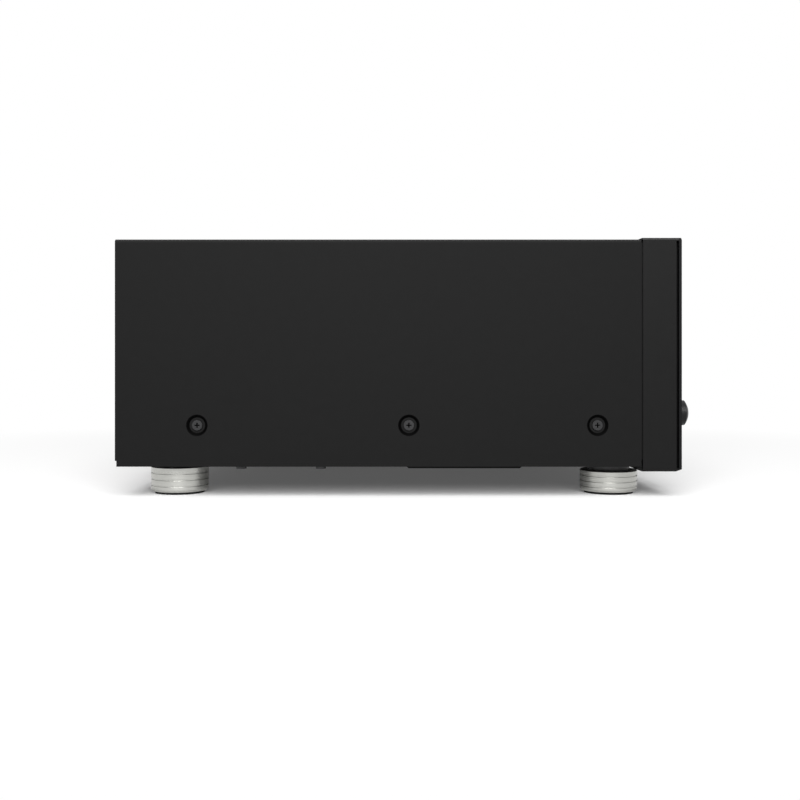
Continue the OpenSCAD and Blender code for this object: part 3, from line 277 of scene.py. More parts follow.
# The cover has the same coat, with painted shade on the steep pressed walls of its screw dishes,
# which are turned to near-black metal so that they lose their sheen, and a painted highlight a shade
# paler along its two upper bends
coated_cover = grain(finish("powder_coated_cover", "#090909", 0.64, Specular_IOR_Level=0.1),
                     0.5, 0.02, ("#080808", "#0b0b0b"), (0.6, 0.7))
cover_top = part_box("top_cover")[1][2] / MM
change_where(coated_cover, dish_walls(coated_cover.node_tree), "#0a0a0a", 1.0)
change_where(coated_cover,
             along_edge(coated_cover.node_tree, HALF_WIDTH - COVER_HIGHLIGHT, cover_top - COVER_HIGHLIGHT),
             "#1e1e1e", 0.0)
# The rear panel has a paler coat of the same kind, so that what is set into it stands out
coated_panel = grain(finish("powder_coated_rear_panel", "#1c1c1d", 0.58, Specular_IOR_Level=0.2),
                     0.5, 0.02, ("#1a1a1b", "#1f1f20"), (0.52, 0.64))
# Zinc-plated steel: pale, with soft spangles and fine rolling lines
zinc_steel = grain(finish("zinc_plated_steel", "#a9abab", 0.35, Metallic=1.0),
                   3.0, 0.01, ("#9a9c9c", "#b9bbba"), (0.28, 0.46), (1, 4, 4))
# Moulded ABS: spark-eroded grain, satin black, painted paler along the two upper edges as a painted
# highlight
black_abs = grain(finish("moulded_black_abs", "#0d0d0d", 0.5, Specular_IOR_Level=0.08),
                  0.4, 0.012, ("#0c0c0c", "#0f0f0f"), (0.46, 0.56))
frame_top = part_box("front_frame")[1][2] / MM
change_where(black_abs,
             along_edge(black_abs.node_tree, HALF_WIDTH - FRAME_HIGHLIGHT, frame_top - FRAME_HIGHLIGHT),
             "#404040", 0.0)
# The cores of the feet are grey nylon, dull and lighter than the casing
core_nylon = grain(finish("grey_nylon_foot_core", "#3e3e3e", 0.5),
                   0.6, 0.012, ("#383838", "#454545"), (0.44, 0.58))
# Brushed and anodised aluminium: hairlines run across the plate, drawn twice as coarse as real
# ones so that they show
brushed_plate = grain(finish("brushed_anodised_aluminium", "#0b0b0c", 0.42,
                             Specular_IOR_Level=0.08),
                      0.6, 0.012, ("#09090a", "#0f0f10"), (0.36, 0.5), (0.012, 1, 1))
# Turned and satin-plated feet: bright, with fine rings from the lathe round each foot's own axis;
# the front feet are coloured a shade darker than the rear ones as painted shade
front_silver, rear_silver = [
    grain(finish(f"satin_plated_{end}_foot", colour, 0.3, Metallic=1.0),
          0.5, 0.003, drift, (0.26, 0.35), centre=("Z", (FOOT_X, y)))
    for end, y, colour, drift in (("front", FOOT_Y[0], "#b2b2ad", ("#adada8", "#b7b7b3")),
                                  ("rear", FOOT_Y[1], "#b6b6b1", ("#b1b1ac", "#bbbbb7")))]
# Black oxide on steel screws, with a worn grey face
screw_black = grain(finish("black_oxide_screw", "#343435", 0.42, Metallic=0.6),
                    0.5, 0.01, ("#2e2e2f", "#3c3c3d"), (0.36, 0.5))
# The side screws are darker, and down in the cross of the head they are painted nearly black as
# shade
side_screw_black = grain(finish("black_oxide_side_screw", "#1e1e1f", 0.42, Metallic=0.6),
                         0.5, 0.01, ("#1a1a1b", "#232324"), (0.36, 0.5))
side_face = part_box("cover_side_screws")[1][0] / MM
change_where(side_screw_black,
             past(side_screw_black.node_tree, "X", *[side_face - depth for depth in CROSS_DEPTH]),
             "#020202", 1.0)
# Nitrile rubber: dull, slightly chalky
pad_rubber = grain(finish("nitrile_rubber", "#121212", 0.85, Specular_IOR_Level=0.3),
                   0.6, 0.03, ("#0f0f0f", "#171716"), (0.78, 0.92))
# Turned and anodised aluminium knobs: a soft sheen with rings round each knob's own axis
volume_black, selector_black = [
    grain(finish(f"turned_black_{knob}_knob", "#1d1d1e", 0.36, Specular_IOR_Level=0.45),
          0.5, 0.01, ("#19191a", "#232324"), (0.3, 0.42), centre=("Y", (x, KNOB_Z)))
    for knob, x in (("volume", VOLUME_X), ("selector", SELECTOR_X))]
# Satin ABS of the button and keys: smooth, with a soft highlight
button_abs = grain(finish("satin_black_button", "#111112", 0.36, Specular_IOR_Level=0.2),
                   0.5, 0.006, ("#0f0f10", "#141415"), (0.32, 0.42))
# Ground and plated steel shafts: clear bright reflections
shaft_steel = grain(finish("ground_steel_shaft", "#b4b5b6", 0.25, Metallic=1.0),
                    0.4, 0.006, ("#a8a9aa", "#c0c1c2"), (0.18, 0.32))
# Acrylic window, tinted almost black, with a polished face
smoked_acrylic = grain(finish("smoked_acrylic", "#08090a", 0.06, Specular_IOR_Level=0.5),
                       8.0, 0.002, ("#07080a", "#0a0b0c"), (0.05, 0.08))
# Display glass: smooth, with a green-grey cast
display_glass = grain(finish("display_tube_glass", "#1a2a2c", 0.12, Coat_Weight=0.5),
                      2.0, 0.004, ("#162426", "#203436"), (0.1, 0.16))
# Nickel-plated stampings: warm and bright, slightly uneven
nickel = grain(finish("nickel_plated_stamping", "#b9b8b2", 0.3, Metallic=1.0),
               0.6, 0.008, ("#aeada7", "#c4c3bd"), (0.24, 0.38))
# Thin gold plating on turned brass: yellow, with a clear shine
GOLD = "#d9b25a"
gold = grain(finish("gold_plated_brass", GOLD, 0.25, Metallic=1.0),
             0.5, 0.006, ("#d0a850", "#e2bd68"), (0.2, 0.32))
# Glass-filled nylon of sockets and terminals: faintly mottled, satin
black_nylon = grain(finish("glass_filled_nylon", "#161617", 0.5, Specular_IOR_Level=0.4),
                    0.7, 0.015, ("#131314", "#1a1a1b"), (0.44, 0.58))
red_nylon = grain(finish("red_nylon", "#8e1a16", 0.42, Specular_IOR_Level=0.45),
                  0.7, 0.012, ("#861814", "#98201b"), (0.38, 0.5))
# Nylon socket blocks whose barrels are gold-plated where they stand out of the panel
plated_barrels = grain(finish("nylon_block_with_plated_barrels", "#161617", 0.4,
                              Specular_IOR_Level=0.4),
                       0.6, 0.01, ("#131314", "#1a1a1b"), (0.34, 0.46))
change_where(plated_barrels,
             past(plated_barrels.node_tree, "Y", *[PANEL_Y + reach for reach in PLATING_FROM]),
             GOLD, 1.0)
# Solder mask over copper: glossy green; bare phenolic laminate: dull brown
green_board = grain(finish("green_solder_mask", "#0f4a2a", 0.35, Specular_IOR_Level=0.5),
                    1.6, 0.02, ("#0c4325", "#166036"), (0.3, 0.4))
brown_board = grain(finish("phenolic_laminate", "#7a5a2c", 0.5, Specular_IOR_Level=0.4),
                    1.2, 0.012, ("#6f5127", "#8a6936"), (0.44, 0.6))
# Varnished transformer plates, stacked front to back: fine dark and light lines
stacked_plates = grain(finish("varnished_core_plates", "#4b4f54", 0.42, Metallic=0.7),
                       1.1, 0.06, ("#3e4146", "#5b5f64"), (0.34, 0.52), (0.05, 1, 0.05))
# Amber polyester tape over the windings: shiny, with soft turns
winding_tape = grain(finish("amber_winding_tape", "#b07820", 0.3, Specular_IOR_Level=0.5),
                     4.0, 0.05, ("#9c6618", "#c48a2c"), (0.22, 0.4), (1, 1, 0.3))
# Black anodised extrusion, with die lines along it
black_extrusion = grain(finish("black_anodised_extrusion", "#17181a", 0.45, Metallic=0.4),
                        0.7, 0.02, ("#121315", "#1e1f22"), (0.38, 0.54), (1, 1, 0.02))
# Shrink sleeve on the capacitors: dark blue and glossy, pulled slightly wavy
capacitor_sleeve = grain(finish("pvc_shrink_sleeve", "#141c2c", 0.28, Specular_IOR_Level=0.5),
                         3.0, 0.03, ("#111826", "#1a2436"), (0.22, 0.34))

# Coloured nylon of the phono sockets: satin
white_nylon = grain(finish("white_nylon", "#d8d8d4", 0.45),
                    0.7, 0.012, ("#d0d0cc", "#e0e0dc"), (0.4, 0.52))
yellow_nylon = grain(finish("yellow_nylon", "#c9a21a", 0.45),
                     0.7, 0.012, ("#bf9916", "#d3ac22"), (0.4, 0.52))
# White pad print: thin, slightly uneven ink
white_print = grain(finish("white_pad_print", "#b8b8b6", 0.6, Specular_IOR_Level=0.3),
                    0.3, 0.004, ("#b0b0ae", "#c0c0be"), (0.55, 0.68))
# Bare aluminium tops of the capacitors: bright, drawn smooth
can_aluminium = grain(finish("drawn_aluminium_can", "#c2c4c6", 0.32, Metallic=1.0),
                      0.8, 0.006, ("#b8babc", "#cccecf"), (0.26, 0.4))
# Epoxy bodies of small parts: dipped brown ones with a shine, and dull dark chips
brown_epoxy = grain(finish("brown_dipped_epoxy", "#6b3a1e", 0.35),
                    1.5, 0.01, ("#5f3319", "#774324"), (0.28, 0.42))
chip_epoxy = grain(finish("moulded_chip_epoxy", "#1d1e20", 0.55),
                   0.6, 0.01, ("#191a1c", "#222326"), (0.5, 0.62))

NODE_FINISHES = {
    coated_cover: ["top_cover"],
    coated_steel: ["bottom_chassis"],
    coated_panel: ["rear_panel"],
    zinc_steel: ["front_subpanel", "board_posts", "volume_encoder", "selector_encoder"],
    black_abs: ["front_frame"],
    core_nylon: ["foot_cores"],
    brushed_plate: ["front_plate"],
    front_silver: ["front_foot_rings"],
    rear_silver: ["rear_foot_rings"],
    side_screw_black: ["cover_side_screws"],
    screw_black: ["rear_screws", "bottom_screws"],
    pad_rubber: ["foot_pads"],
    volume_black: ["volume_knob"],
    selector_black: ["selector_knob"],
    button_abs: ["power_button"] + [f"key_{i + 1}" for i in range(KEY_COUNT)],
    shaft_steel: ["volume_shaft", "selector_shaft"],
    smoked_acrylic: ["display_window"],
    display_glass: ["display_module"],
    nickel: ["front_data_socket", "digital_video_sockets", "network_socket", "aerial_sockets"],
    gold: ["front_phono_sockets", "speaker_studs"],
    plated_barrels: ["rear_phono_sockets"],
    black_nylon: ["tact_switches", "headphone_socket", "mains_inlet", "speaker_terminals",
                  "power_transistors", "fan_frame", "fan_rotor"]
                 + [f"speaker_cap_{2 * i + 1}" for i in range(PAIR_COUNT)],
    red_nylon: [f"speaker_cap_{2 * i + 2}" for i in range(PAIR_COUNT)],
    green_board: ["front_board", "main_board"],
    brown_board: ["amplifier_board", "power_supply_board"],
    stacked_plates: ["transformer_core"],
    winding_tape: ["transformer_windings"],
    black_extrusion: ["heat_sink"],
    capacitor_sleeve: ["reservoir_capacitors"],
}
for material, names in NODE_FINISHES.items():
    for name in names:
        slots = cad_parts[name].data.materials
        slots.clear()
        slots.append(material)


# Shapes of the small pieces, in millimetres; make_piece turns them to metres

SHARP = math.radians(32)  # an edge that turns by more stays sharp
WELD = 1e-7  # points closer than this, in metres, are one


def block(bm, x, half, depth, height, edge=0.0):
    """A block of that half width round x, between two places in y and two in z, edges bevelled."""
    low, high = [(x + side * half, depth[i], height[i]) for i, side in enumerate((-1, 1))]
    made = bmesh.ops.create_cube(bm, size=1.0)["verts"]
    bmesh.ops.scale(bm, vec=[b - a for a, b in zip(low, high)], verts=made)
    bmesh.ops.translate(bm, vec=[(a + b) / 2 for a, b in zip(low, high)], verts=made)
    if edge:
        lines = list({line for vert in made for line in vert.link_edges})
        bmesh.ops.bevel(bm, geom=lines, offset=edge, offset_type="OFFSET", segments=2, profile=0.5,
                        affect="EDGES", material=-1)


def turned(bm, profile, centre, axis="Y", steps=24):
    """A closed outline of (radius, height) points turned round an axis through the centre."""
    base = Vector(centre)
    up = Vector((0, 1, 0)) if axis == "Y" else Vector((0, 0, 1))
    verts = [bm.verts.new(base + Vector((radius, 0, 0)) + up * height)
             for radius, height in profile]
    lines = [bm.edges.new((verts[i], verts[(i + 1) % len(verts)])) for i in range(len(verts))]
    bmesh.ops.spin(bm, geom=verts + lines, cent=base, axis=up, angle=math.tau, steps=steps,
                   use_merge=True)


def turn_and_place(bm, start, angle, axis, place, size=1.0):
    """Scales, turns and then moves the points added since there were start of them."""
    bm.verts.ensure_lookup_table()
    fresh = bm.verts[start:]
    bmesh.ops.scale(bm, vec=(size, size, size), verts=fresh)
    bmesh.ops.rotate(bm, cent=(0, 0, 0), matrix=Matrix.Rotation(angle, 3, axis), verts=fresh)
    bmesh.ops.translate(bm, vec=place, verts=fresh)


def make_piece(name, bm, material, body="casing"):
    """Closes the shape, shades it, and hangs it on its body with its finish."""
    bmesh.ops.scale(bm, vec=(MM, MM, MM), verts=bm.verts)
    bmesh.ops.remove_doubles(bm, verts=bm.verts, dist=WELD)
    bmesh.ops.recalc_face_normals(bm, faces=bm.faces)
    for face in bm.faces:
        face.smooth = True
    for line in bm.edges:
        line.smooth = len(line.link_faces) == 2 and line.calc_face_angle(math.pi) < SHARP
    mesh = bpy.data.meshes.new(name)
    bm.to_mesh(mesh)
    bm.free()
    mesh.materials.append(material)
    piece = bpy.data.objects.new(name, mesh)
    scene.collection.objects.link(piece)
    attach(piece, body)


# Phono sockets: a coloured ring round each barrel and a coloured insert round each contact

RING_R = 5.0
SLEEVE_R = (2.35, 3.25)
SLEEVE_LENGTH = 4
SLEEVE_BELOW_LIP = 0.9


def jack_trim(bm, x, z, face, way):
    """A nylon ring that comes through the panel round a barrel, and a sleeve inside the barrel.

    face is the panel's y, and way is 1 towards the rear and -1 towards the front."""
    turned(bm, [(BARREL_R, -way), (RING_R, -way), (RING_R, 0.9 * way), (RING_R - 0.2, 1.15 * way),
                (BARREL_R, 1.2 * way)], (x, face, z))
    inner, outer = SLEEVE_R
    tip = JACK_OUT - SLEEVE_BELOW_LIP
    base = tip - SLEEVE_LENGTH
    turned(bm, [(inner, way * base), (outer, way * base), (outer, way * (tip - 0.3)),
                (outer - 0.3, way * tip), (inner, way * tip)], (x, face, z))


# Columns and rows of the rear sockets by colour, and the front sockets' places in their row
REAR_JACKS = {
    "white": (white_nylon, [(0, 2), (1, 2), (2, 2), (3, 2), (5, 2)]),
    "red": (red_nylon, [(0, 1), (1, 1), (2, 1), (3, 1), (5, 1)]),
    "yellow": (yellow_nylon, [(0, 0), (1, 0), (2, 0)]),
    "black": (black_nylon, [(3, 0), (4, 0), (4, 1), (4, 2), (5, 0), (6, 0), (6, 1), (6, 2)]),
}
FRONT_JACKS = {"yellow": 0, "white": 1, "red": 2}
for colour, (material, places) in REAR_JACKS.items():
    bm = bmesh.new()
    for column, row in places:
        jack_trim(bm, JACK_X + column * JACK_PITCH, JACK_Z + row * JACK_PITCH, PANEL_Y, 1)
    make_piece(f"rear_{colour}_jack_rings", bm, material)
    if colour in FRONT_JACKS:
        bm = bmesh.new()
        x = FRONT_JACK_X + FRONT_JACKS[colour] * FRONT_JACK_PITCH
        jack_trim(bm, x, FRONT_SOCKET_Z, PLATE_Y, -1)
        make_piece(f"front_{colour}_jack_ring", bm, material)


# Contacts and tongues of the flat sockets, placed by their distances from the face that a socket
# comes through and from its middle

def behind(start, end):
    """Two depths inside the rear panel."""
    return PANEL_Y - start, PANEL_Y - end


def beyond(start, end):
    """Two distances outside the rear panel."""
    return PANEL_Y + start, PANEL_Y + end


def inside(start, end):
    """Two depths inside the front plate."""
    return PLATE_Y + start, PLATE_Y + end


def above(middle, start, end):
    """Two heights from a middle, negative ones below it."""
    return middle + start, middle + end


def contact_row(bm, x, count, pitch, width, depth, height):
    """Evenly spaced contact strips, centred on x."""
    for i in range(count):
        block(bm, x + (i - (count - 1) / 2) * pitch, width / 2, depth, height)


tongues, contacts = bmesh.new(), bmesh.new()
for i in range(VIDEO_COUNT):
    x = VIDEO_X + i * VIDEO_PITCH
    block(tongues, x, 5.6, behind(11.2, 2.2), above(VIDEO_Z, -0.2, 1.0), 0.2)
    block(tongues, x, 7.0, behind(11.2, 9.6), above(VIDEO_Z, -2.3, 2.3), 0.2)
    contact_row(contacts, x, 10, 1.0, 0.42, behind(10, 2.7), above(VIDEO_Z, -0.3, -0.1))
    contact_row(contacts, x, 9, 1.0, 0.42, behind(10, 2.7), above(VIDEO_Z, 0.9, 1.1))
block(tongues, NETWORK_X, 5.8, behind(13.2, 11.4), above(NETWORK_Z, -3.4, 4.4), 0.2)
block(tongues, NETWORK_X, 5.0, behind(11.6, 2.5), above(NETWORK_Z, 3.2, 4.3), 0.3)
contact_row(contacts, NETWORK_X, 8, 1.02, 0.5, behind(11.5, 4.0), above(NETWORK_Z, 2.6, 3.0))
make_piece("rear_socket_tongues", tongues, black_nylon)
make_piece("rear_socket_contacts", contacts, gold)

tongue, contacts = bmesh.new(), bmesh.new()
block(tongue, DATA_X, 5.6, inside(2.0, 12.0), above(FRONT_SOCKET_Z, 0.3, 2.2), 0.25)
block(tongue, DATA_X, 6.2, inside(11.8, 13.0), above(FRONT_SOCKET_Z, -2.5, 2.5), 0.2)
contact_row(contacts, DATA_X, 4, 2.4, 1.0, inside(3.0, 11.5), above(FRONT_SOCKET_Z, 0.15, 0.4))
make_piece("front_socket_tongue", tongue, white_nylon)
make_piece("front_socket_contacts", contacts, gold)

# Blades of the mains inlet, with chamfered tips, at their places from its middle
INLET_BLADES = ((-7, -2), (0, 2), (7, -2))
blades = bmesh.new()
for dx, dz in INLET_BLADES:
    block(blades, INLET_X + dx, 1.1, behind(15.0, 1.8), above(INLET_Z + dz, -2.1, 2.1), 0.45)
make_piece("inlet_blades", blades, nickel)

# A turned nickel bush in the mouth of the headphone socket
bush = bmesh.new()
turned(bush, [(3.3, 0.6), (5.6, 0.6), (5.6, -0.25), (5.1, -0.6), (3.8, -0.6), (3.3, -0.25)],
       (HEADPHONE_X, PLATE_Y - 0.8, FRONT_SOCKET_Z), steps=32)
make_piece("headphone_bush", bush, nickel)

# Thread and white centre of the round aerial socket, and the levers of the clamps
THREAD_START, THREAD_PITCH, THREAD_TURNS = 2.2, 0.8, 8
thread, centre, levers = bmesh.new(), bmesh.new(), bmesh.new()
for i in range(THREAD_TURNS):
    turned(thread, [(4.6, -0.34), (4.95, -0.08), (4.95, 0.08), (4.6, 0.34)],
           (AERIAL_X, PANEL_Y + THREAD_START + THREAD_PITCH * i, AERIAL_Z))
turned(centre, [(0.6, 1.2), (3.65, 1.2), (3.65, 7.6), (3.4, 7.9), (0.9, 7.9), (0.6, 7.6)],
       (AERIAL_X, PANEL_Y, AERIAL_Z))
for side in (-1, 1):
    z = AERIAL_Z + CLAMP_FROM_MIDDLE * side
    block(levers, CLAMP_X, 4.2, beyond(2.9, 6.4), above(z, 1.9, 4.4), 0.5)
    block(levers, CLAMP_X, 2.6, beyond(2.9, 4.0), above(z, -4.2, -2.6), 0.3)
make_piece("aerial_thread", thread, nickel)
make_piece("aerial_insulator", centre, white_nylon)
make_piece("aerial_clamp_levers", levers, black_nylon)

# Pointers let into the knobs' faces, from past the inner face to just inside the rim; each turns
# with its knob
for name, x, radius, front in (("volume_knob", VOLUME_X, VOLUME_R, VOLUME_OUT),
                               ("selector_knob", SELECTOR_X, SELECTOR_R, SELECTOR_OUT)):
    pointer = bmesh.new()
    block(pointer, x, 0.45, inside(0.2 - front, 0.8 - front),
          above(KNOB_Z, radius * KNOB_FACE + 2.8, radius - 2.9), 0.12)
    make_piece(f"{name}_pointer", pointer, white_print, name)


# Small screws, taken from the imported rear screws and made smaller

PACKED_WELD = 1e-6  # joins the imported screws' doubled points, in metres
ONE_SCREW = 20  # within this distance of the middle there is one rear screw
STEM = 1  # length of its stem that is kept
SCREW_TURN = 0.7  # each screw is turned by this much more than the one before
PANEL_SCREW, TRANSISTOR_SCREW = 0.72, 0.85  # sizes as shares of a rear screw
OTHER_PANEL_SCREWS = [(-200, 100), (200, 70), (-150, 28), (0, 28), (120, 28), (-60, 158),
                      (130, 158)]


def screw_form():
    """One cross-head screw, its seat at y = 0 and its head towards +y."""
    bm = bmesh.new()
    bm.from_mesh(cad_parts["rear_screws"].data)
    bmesh.ops.remove_doubles(bm, verts=bm.verts, dist=PACKED_WELD)
    others = [vert for vert in bm.verts if abs(vert.co.x) > ONE_SCREW * MM]
    bmesh.ops.delete(bm, geom=others, context="VERTS")
    bmesh.ops.scale(bm, vec=(1 / MM, 1 / MM, 1 / MM), verts=bm.verts)
    bmesh.ops.translate(bm, vec=(0, -REAR_Y, -REAR_SCREW_Z), verts=bm.verts)
    cut = bmesh.ops.bisect_plane(bm, geom=bm.verts[:] + bm.edges[:] + bm.faces[:],
                                 plane_co=(0, -STEM, 0), plane_no=(0, 1, 0), clear_inner=True)
    rim = [part for part in cut["geom_cut"] if isinstance(part, bmesh.types.BMEdge)]
    bmesh.ops.edgeloop_fill(bm, edges=rim)
    form = bpy.data.meshes.new("screw_form")
    bm.to_mesh(form)
    bm.free()
    return form


def small_screws(name, places, size, material):
    """Screws of one size, each at (x, y, z) facing the rear, turned by a different angle."""
    form = screw_form()
    bm = bmesh.new()
    for i, place in enumerate(places):
        start = len(bm.verts)
        bm.from_mesh(form)
        turn_and_place(bm, start, SCREW_TURN * i, "Y", place, size)
    bpy.data.meshes.remove(form)
    make_piece(name, bm, material)


# Between the phono sockets, between the video sockets, between the pairs of speaker posts, at the
# fan's corners, and where the panel is fixed to what is behind it
panel_screws = [(JACK_X + (column + 0.5) * JACK_PITCH, JACK_Z + (row + 0.5) * JACK_PITCH)
                for column in (1, 3, 5) for row in (0, 1)]
panel_screws += [(VIDEO_X + (i + 0.5) * VIDEO_PITCH, VIDEO_Z) for i in range(VIDEO_COUNT - 1)]
panel_screws += [(PAIR_X + (i + 0.5) * PAIR_PITCH, POST_Z) for i in range(PAIR_COUNT - 1)]
panel_screws += [(FAN_X + FAN_SCREW_FROM_MIDDLE * dx, FAN_Z + FAN_SCREW_FROM_MIDDLE * dz)
                 for dx in (-1, 1) for dz in (-1, 1)]
panel_screws += OTHER_PANEL_SCREWS
small_screws("rear_panel_screws", [(x, PANEL_Y, z) for x, z in panel_screws], PANEL_SCREW,
             screw_black)
small_screws("inlet_screws",
             [(INLET_X + INLET_SCREW_FROM_MIDDLE * side, PANEL_Y + INLET_FACE_OUT, INLET_Z)
              for side in (-1, 1)], PANEL_SCREW, screw_black)
small_screws("transistor_screws",
             [(TRANSISTOR_X + TRANSISTOR_PITCH * i, TRANSISTOR_FACE_Y, TRANSISTOR_SCREW_Z)
              for i in range(TRANSISTOR_COUNT)], TRANSISTOR_SCREW, zinc_steel)


# Tops of the two large capacitors: a drawn can end with its vent cross, and the sleeve's rolled
# edge
ROUND_STEPS = 48
tops, rolls = bmesh.new(), bmesh.new()
for x in CAPACITOR_X:
    top = (x, CAPACITOR_Y, CAPACITOR_TOP)
    turned(tops, [(0, -1), (15.2, -1), (15.2, 0.15), (14.9, 0.35), (0, 0.35)], top, "Z",
           ROUND_STEPS)
    for angle in (0, 60, 120):
        start = len(tops.verts)
        block(tops, 0, 12, (-0.5, 0.5), (0.2, 0.6), 0.15)
        turn_and_place(tops, start, math.radians(angle), "Z", top)
    turned(rolls, [(15.1, -1), (17.7, -1), (17.7, 0.2), (17.3, 0.7), (16.4, 0.9), (15.5, 0.6),
                   (15.1, 0.1)], top, "Z", ROUND_STEPS)
make_piece("capacitor_tops", tops, can_aluminium)
make_piece("capacitor_sleeve_edges", rolls, capacitor_sleeve)


# Small parts standing on the boards

LEAD = 0.3  # half the width of a resistor's lead
LEAD_OUT = 1.2  # how far a lead reaches past the body before it bends down
RESISTOR_LENGTH = 6.5


def can(bm, x, y, z, radius, height):
    """A small upright capacitor with a rolled waist and a rounded top."""
    turned(bm, [(0, 0), (radius, 0), (radius, 0.9), (radius * 0.93, 1.3), (radius, 1.7),
                (radius, height - 0.5), (radius - 0.5, height), (0, height)], (x, y, z), "Z", 16)


def resistor(bm, x, y, z):
    """A resistor lying on the board with its two leads bent down."""
    half = RESISTOR_LENGTH / 2
    turned(bm, [(0, -half), (1.1, -half), (1.4, 0.8 - half), (1.15, 1.4 - half),
                (1.15, half - 1.4), (1.4, half - 0.8), (1.1, half), (0, half)],
           (x, y, z + 1.5), "Y", 10)
    for end in (-1, 1):
        tip = y + end * (half + LEAD_OUT)
        block(bm, x, LEAD, (tip - LEAD, tip + LEAD), above(z, 0, 1.8))
        block(bm, x, LEAD, sorted((y + end * half, tip)), above(z, 1.2, 1.8))


def chip(bm, x, y, z, width, depth, legs):
    """A moulded chip with legs down its two long sides."""
    block(bm, x, width / 2, (y - depth / 2, y + depth / 2), above(z, 0.3, 1.8), 0.25)
    for side in (-1, 1):
        edge = y + side * depth / 2
        contact_row(bm, x, legs, (width - 1.2) / (legs - 1), 0.45, (edge - 0.9, edge + 0.9),
                    above(z, 0, 0.5))


small_cans, resistors, chips = bmesh.new(), bmesh.new(), bmesh.new()
# On the amplifier board, the same for each channel
for channel in range(CHANNEL_COUNT):
    x = CHANNEL_X + CHANNEL_PITCH * channel
    for dx, y in ((6, 80.5), (14, 96.5), (22, 48.5), (40, 84.5)):
        can(small_cans, x + dx, y, BOARD_TOP, 4.0, 11)
    for i in range(6):
        resistor(resistors, x + 6 + i * 5, 38, BOARD_TOP)
    chip(chips, x + 24, 92, BOARD_TOP, 12, 6, 8)
# On the power supply board
for i in range(7):
    can(small_cans, -10 + i * 15, -82, BOARD_TOP, 5.0, 16)
    resistor(resistors, 8 + i * 9, -98, BOARD_TOP)
# On the main board
for i in range(6):
    can(small_cans, -52 + i * 13, 132, MAIN_TOP, 2.6, 6)
    can(small_cans, 70 + i * 8, 180, MAIN_TOP, 2.6, 6)
for i in range(VIDEO_COUNT):
    chip(chips, VIDEO_X + i * VIDEO_PITCH, 168, MAIN_TOP, 9, 5, 7)
    chip(chips, -40 + i * 36, 124, MAIN_TOP, 14, 7, 10)
make_piece("small_board_cans", small_cans, capacitor_sleeve)
make_piece("small_board_resistors", resistors, brown_epoxy)
make_piece("small_board_chips", chips, chip_epoxy)


# Printed marks: plain numbers, signs and frames, a hair thick

INK = 0.04
FRAME_LINE = 0.4
KEY_NUMBER, SOCKET_NUMBER, PAIR_NUMBER, SIGN = 3.4, 3.6, 5, 6  # heights of the type
NUMBER_ABOVE_KEY = 6.4  # and so on: distances from the middle of what is marked
SIGN_FROM_KNOB = 27
NUMBER_BELOW_POSTS = 13.5
SIGN_ABOVE_POST = 11
NUMBER_ABOVE_VIDEO = 7
NUMBER_ABOVE_JACKS = 43
# Round the speaker terminals, the video sockets, the phono sockets and the network socket, each
# from x to x and from z to z
SOCKET_FRAMES = ((-137, 85, 32, 66), (-35, 83, 142.5, 160), (75.5, 194.5, 79, 134.5),
                 (93.5, 114.5, 142.5, 162.2))
FRONT_FACE = (PLATE_Y, 0)
REAR_FACE = (PANEL_Y, math.pi)


def printed_text(bm, text, size, x, z, face):
    """Centred text on a face, given by its y and the turn about the upright that it needs."""
    curve = bpy.data.curves.new("printed_text", "FONT")
    curve.body = text
    curve.size = size
    curve.align_x = curve.align_y = "CENTER"
    curve.resolution_u = 3
    curve.extrude = INK / 2
    holder = bpy.data.objects.new("printed_text", curve)
    scene.collection.objects.link(holder)
    bpy.context.view_layer.update()
    flat = bpy.data.meshes.new_from_object(holder)
    y, turn = face
    upright = Matrix.Rotation(turn, 4, "Z") @ Matrix.Rotation(math.pi / 2, 4, "X")
    flat.transform(Matrix.Translation((x, y, z)) @ upright)
    bm.from_mesh(flat)
    bpy.data.meshes.remove(flat)
    bpy.data.objects.remove(holder)
    bpy.data.curves.remove(curve)


def printed_frame(bm, x0, x1, z0, z1):
    """A thin rectangle round a group of sockets on the rear panel."""
    depth = (PANEL_Y - INK / 2, PANEL_Y + INK / 2)
    wide, half = (x1 - x0) / 2, FRAME_LINE / 2
    for x, reach, height in ((x0 + wide, wide, (z0, z0 + FRAME_LINE)),
                             (x0 + wide, wide, (z1 - FRAME_LINE, z1)),
                             (x0 + half, half, (z0 + FRAME_LINE, z1 - FRAME_LINE)),
                             (x1 - half, half, (z0 + FRAME_LINE, z1 - FRAME_LINE))):
        block(bm, x, reach, depth, height)


front_print = bmesh.new()
for i in range(KEY_COUNT):
    printed_text(front_print, str(i + 1), KEY_NUMBER, KEY_X + i * KEY_PITCH,
                 KEY_Z + NUMBER_ABOVE_KEY, FRONT_FACE)
for text, side in (("-", -1), ("+", 1)):
    printed_text(front_print, text, SIGN, VOLUME_X + side * SIGN_FROM_KNOB,
                 KNOB_Z - SIGN_FROM_KNOB, FRONT_FACE)
make_piece("front_printed_marks", front_print, white_print)

rear_print = bmesh.new()
for i in range(PAIR_COUNT):
    x = PAIR_X + i * PAIR_PITCH
    number = str(i + 1)
    printed_text(rear_print, number, PAIR_NUMBER, x, POST_Z - NUMBER_BELOW_POSTS, REAR_FACE)
    for text, side in (("-", -1), ("+", 1)):
        printed_text(rear_print, text, SIGN, x + side * POST_PITCH / 2, POST_Z + SIGN_ABOVE_POST,
                     REAR_FACE)
    printed_text(rear_print, number, SOCKET_NUMBER, VIDEO_X + i * VIDEO_PITCH,
                 VIDEO_Z + NUMBER_ABOVE_VIDEO, REAR_FACE)
for i in range(JACK_COLUMNS):
    printed_text(rear_print, str(i + 1), SOCKET_NUMBER, JACK_X + i * JACK_PITCH,
                 JACK_Z + NUMBER_ABOVE_JACKS, REAR_FACE)
for sides in SOCKET_FRAMES:
    printed_frame(rear_print, *sides)
make_piece("rear_printed_marks", rear_print, white_print)


# Floor, light and camera, in metres and watts

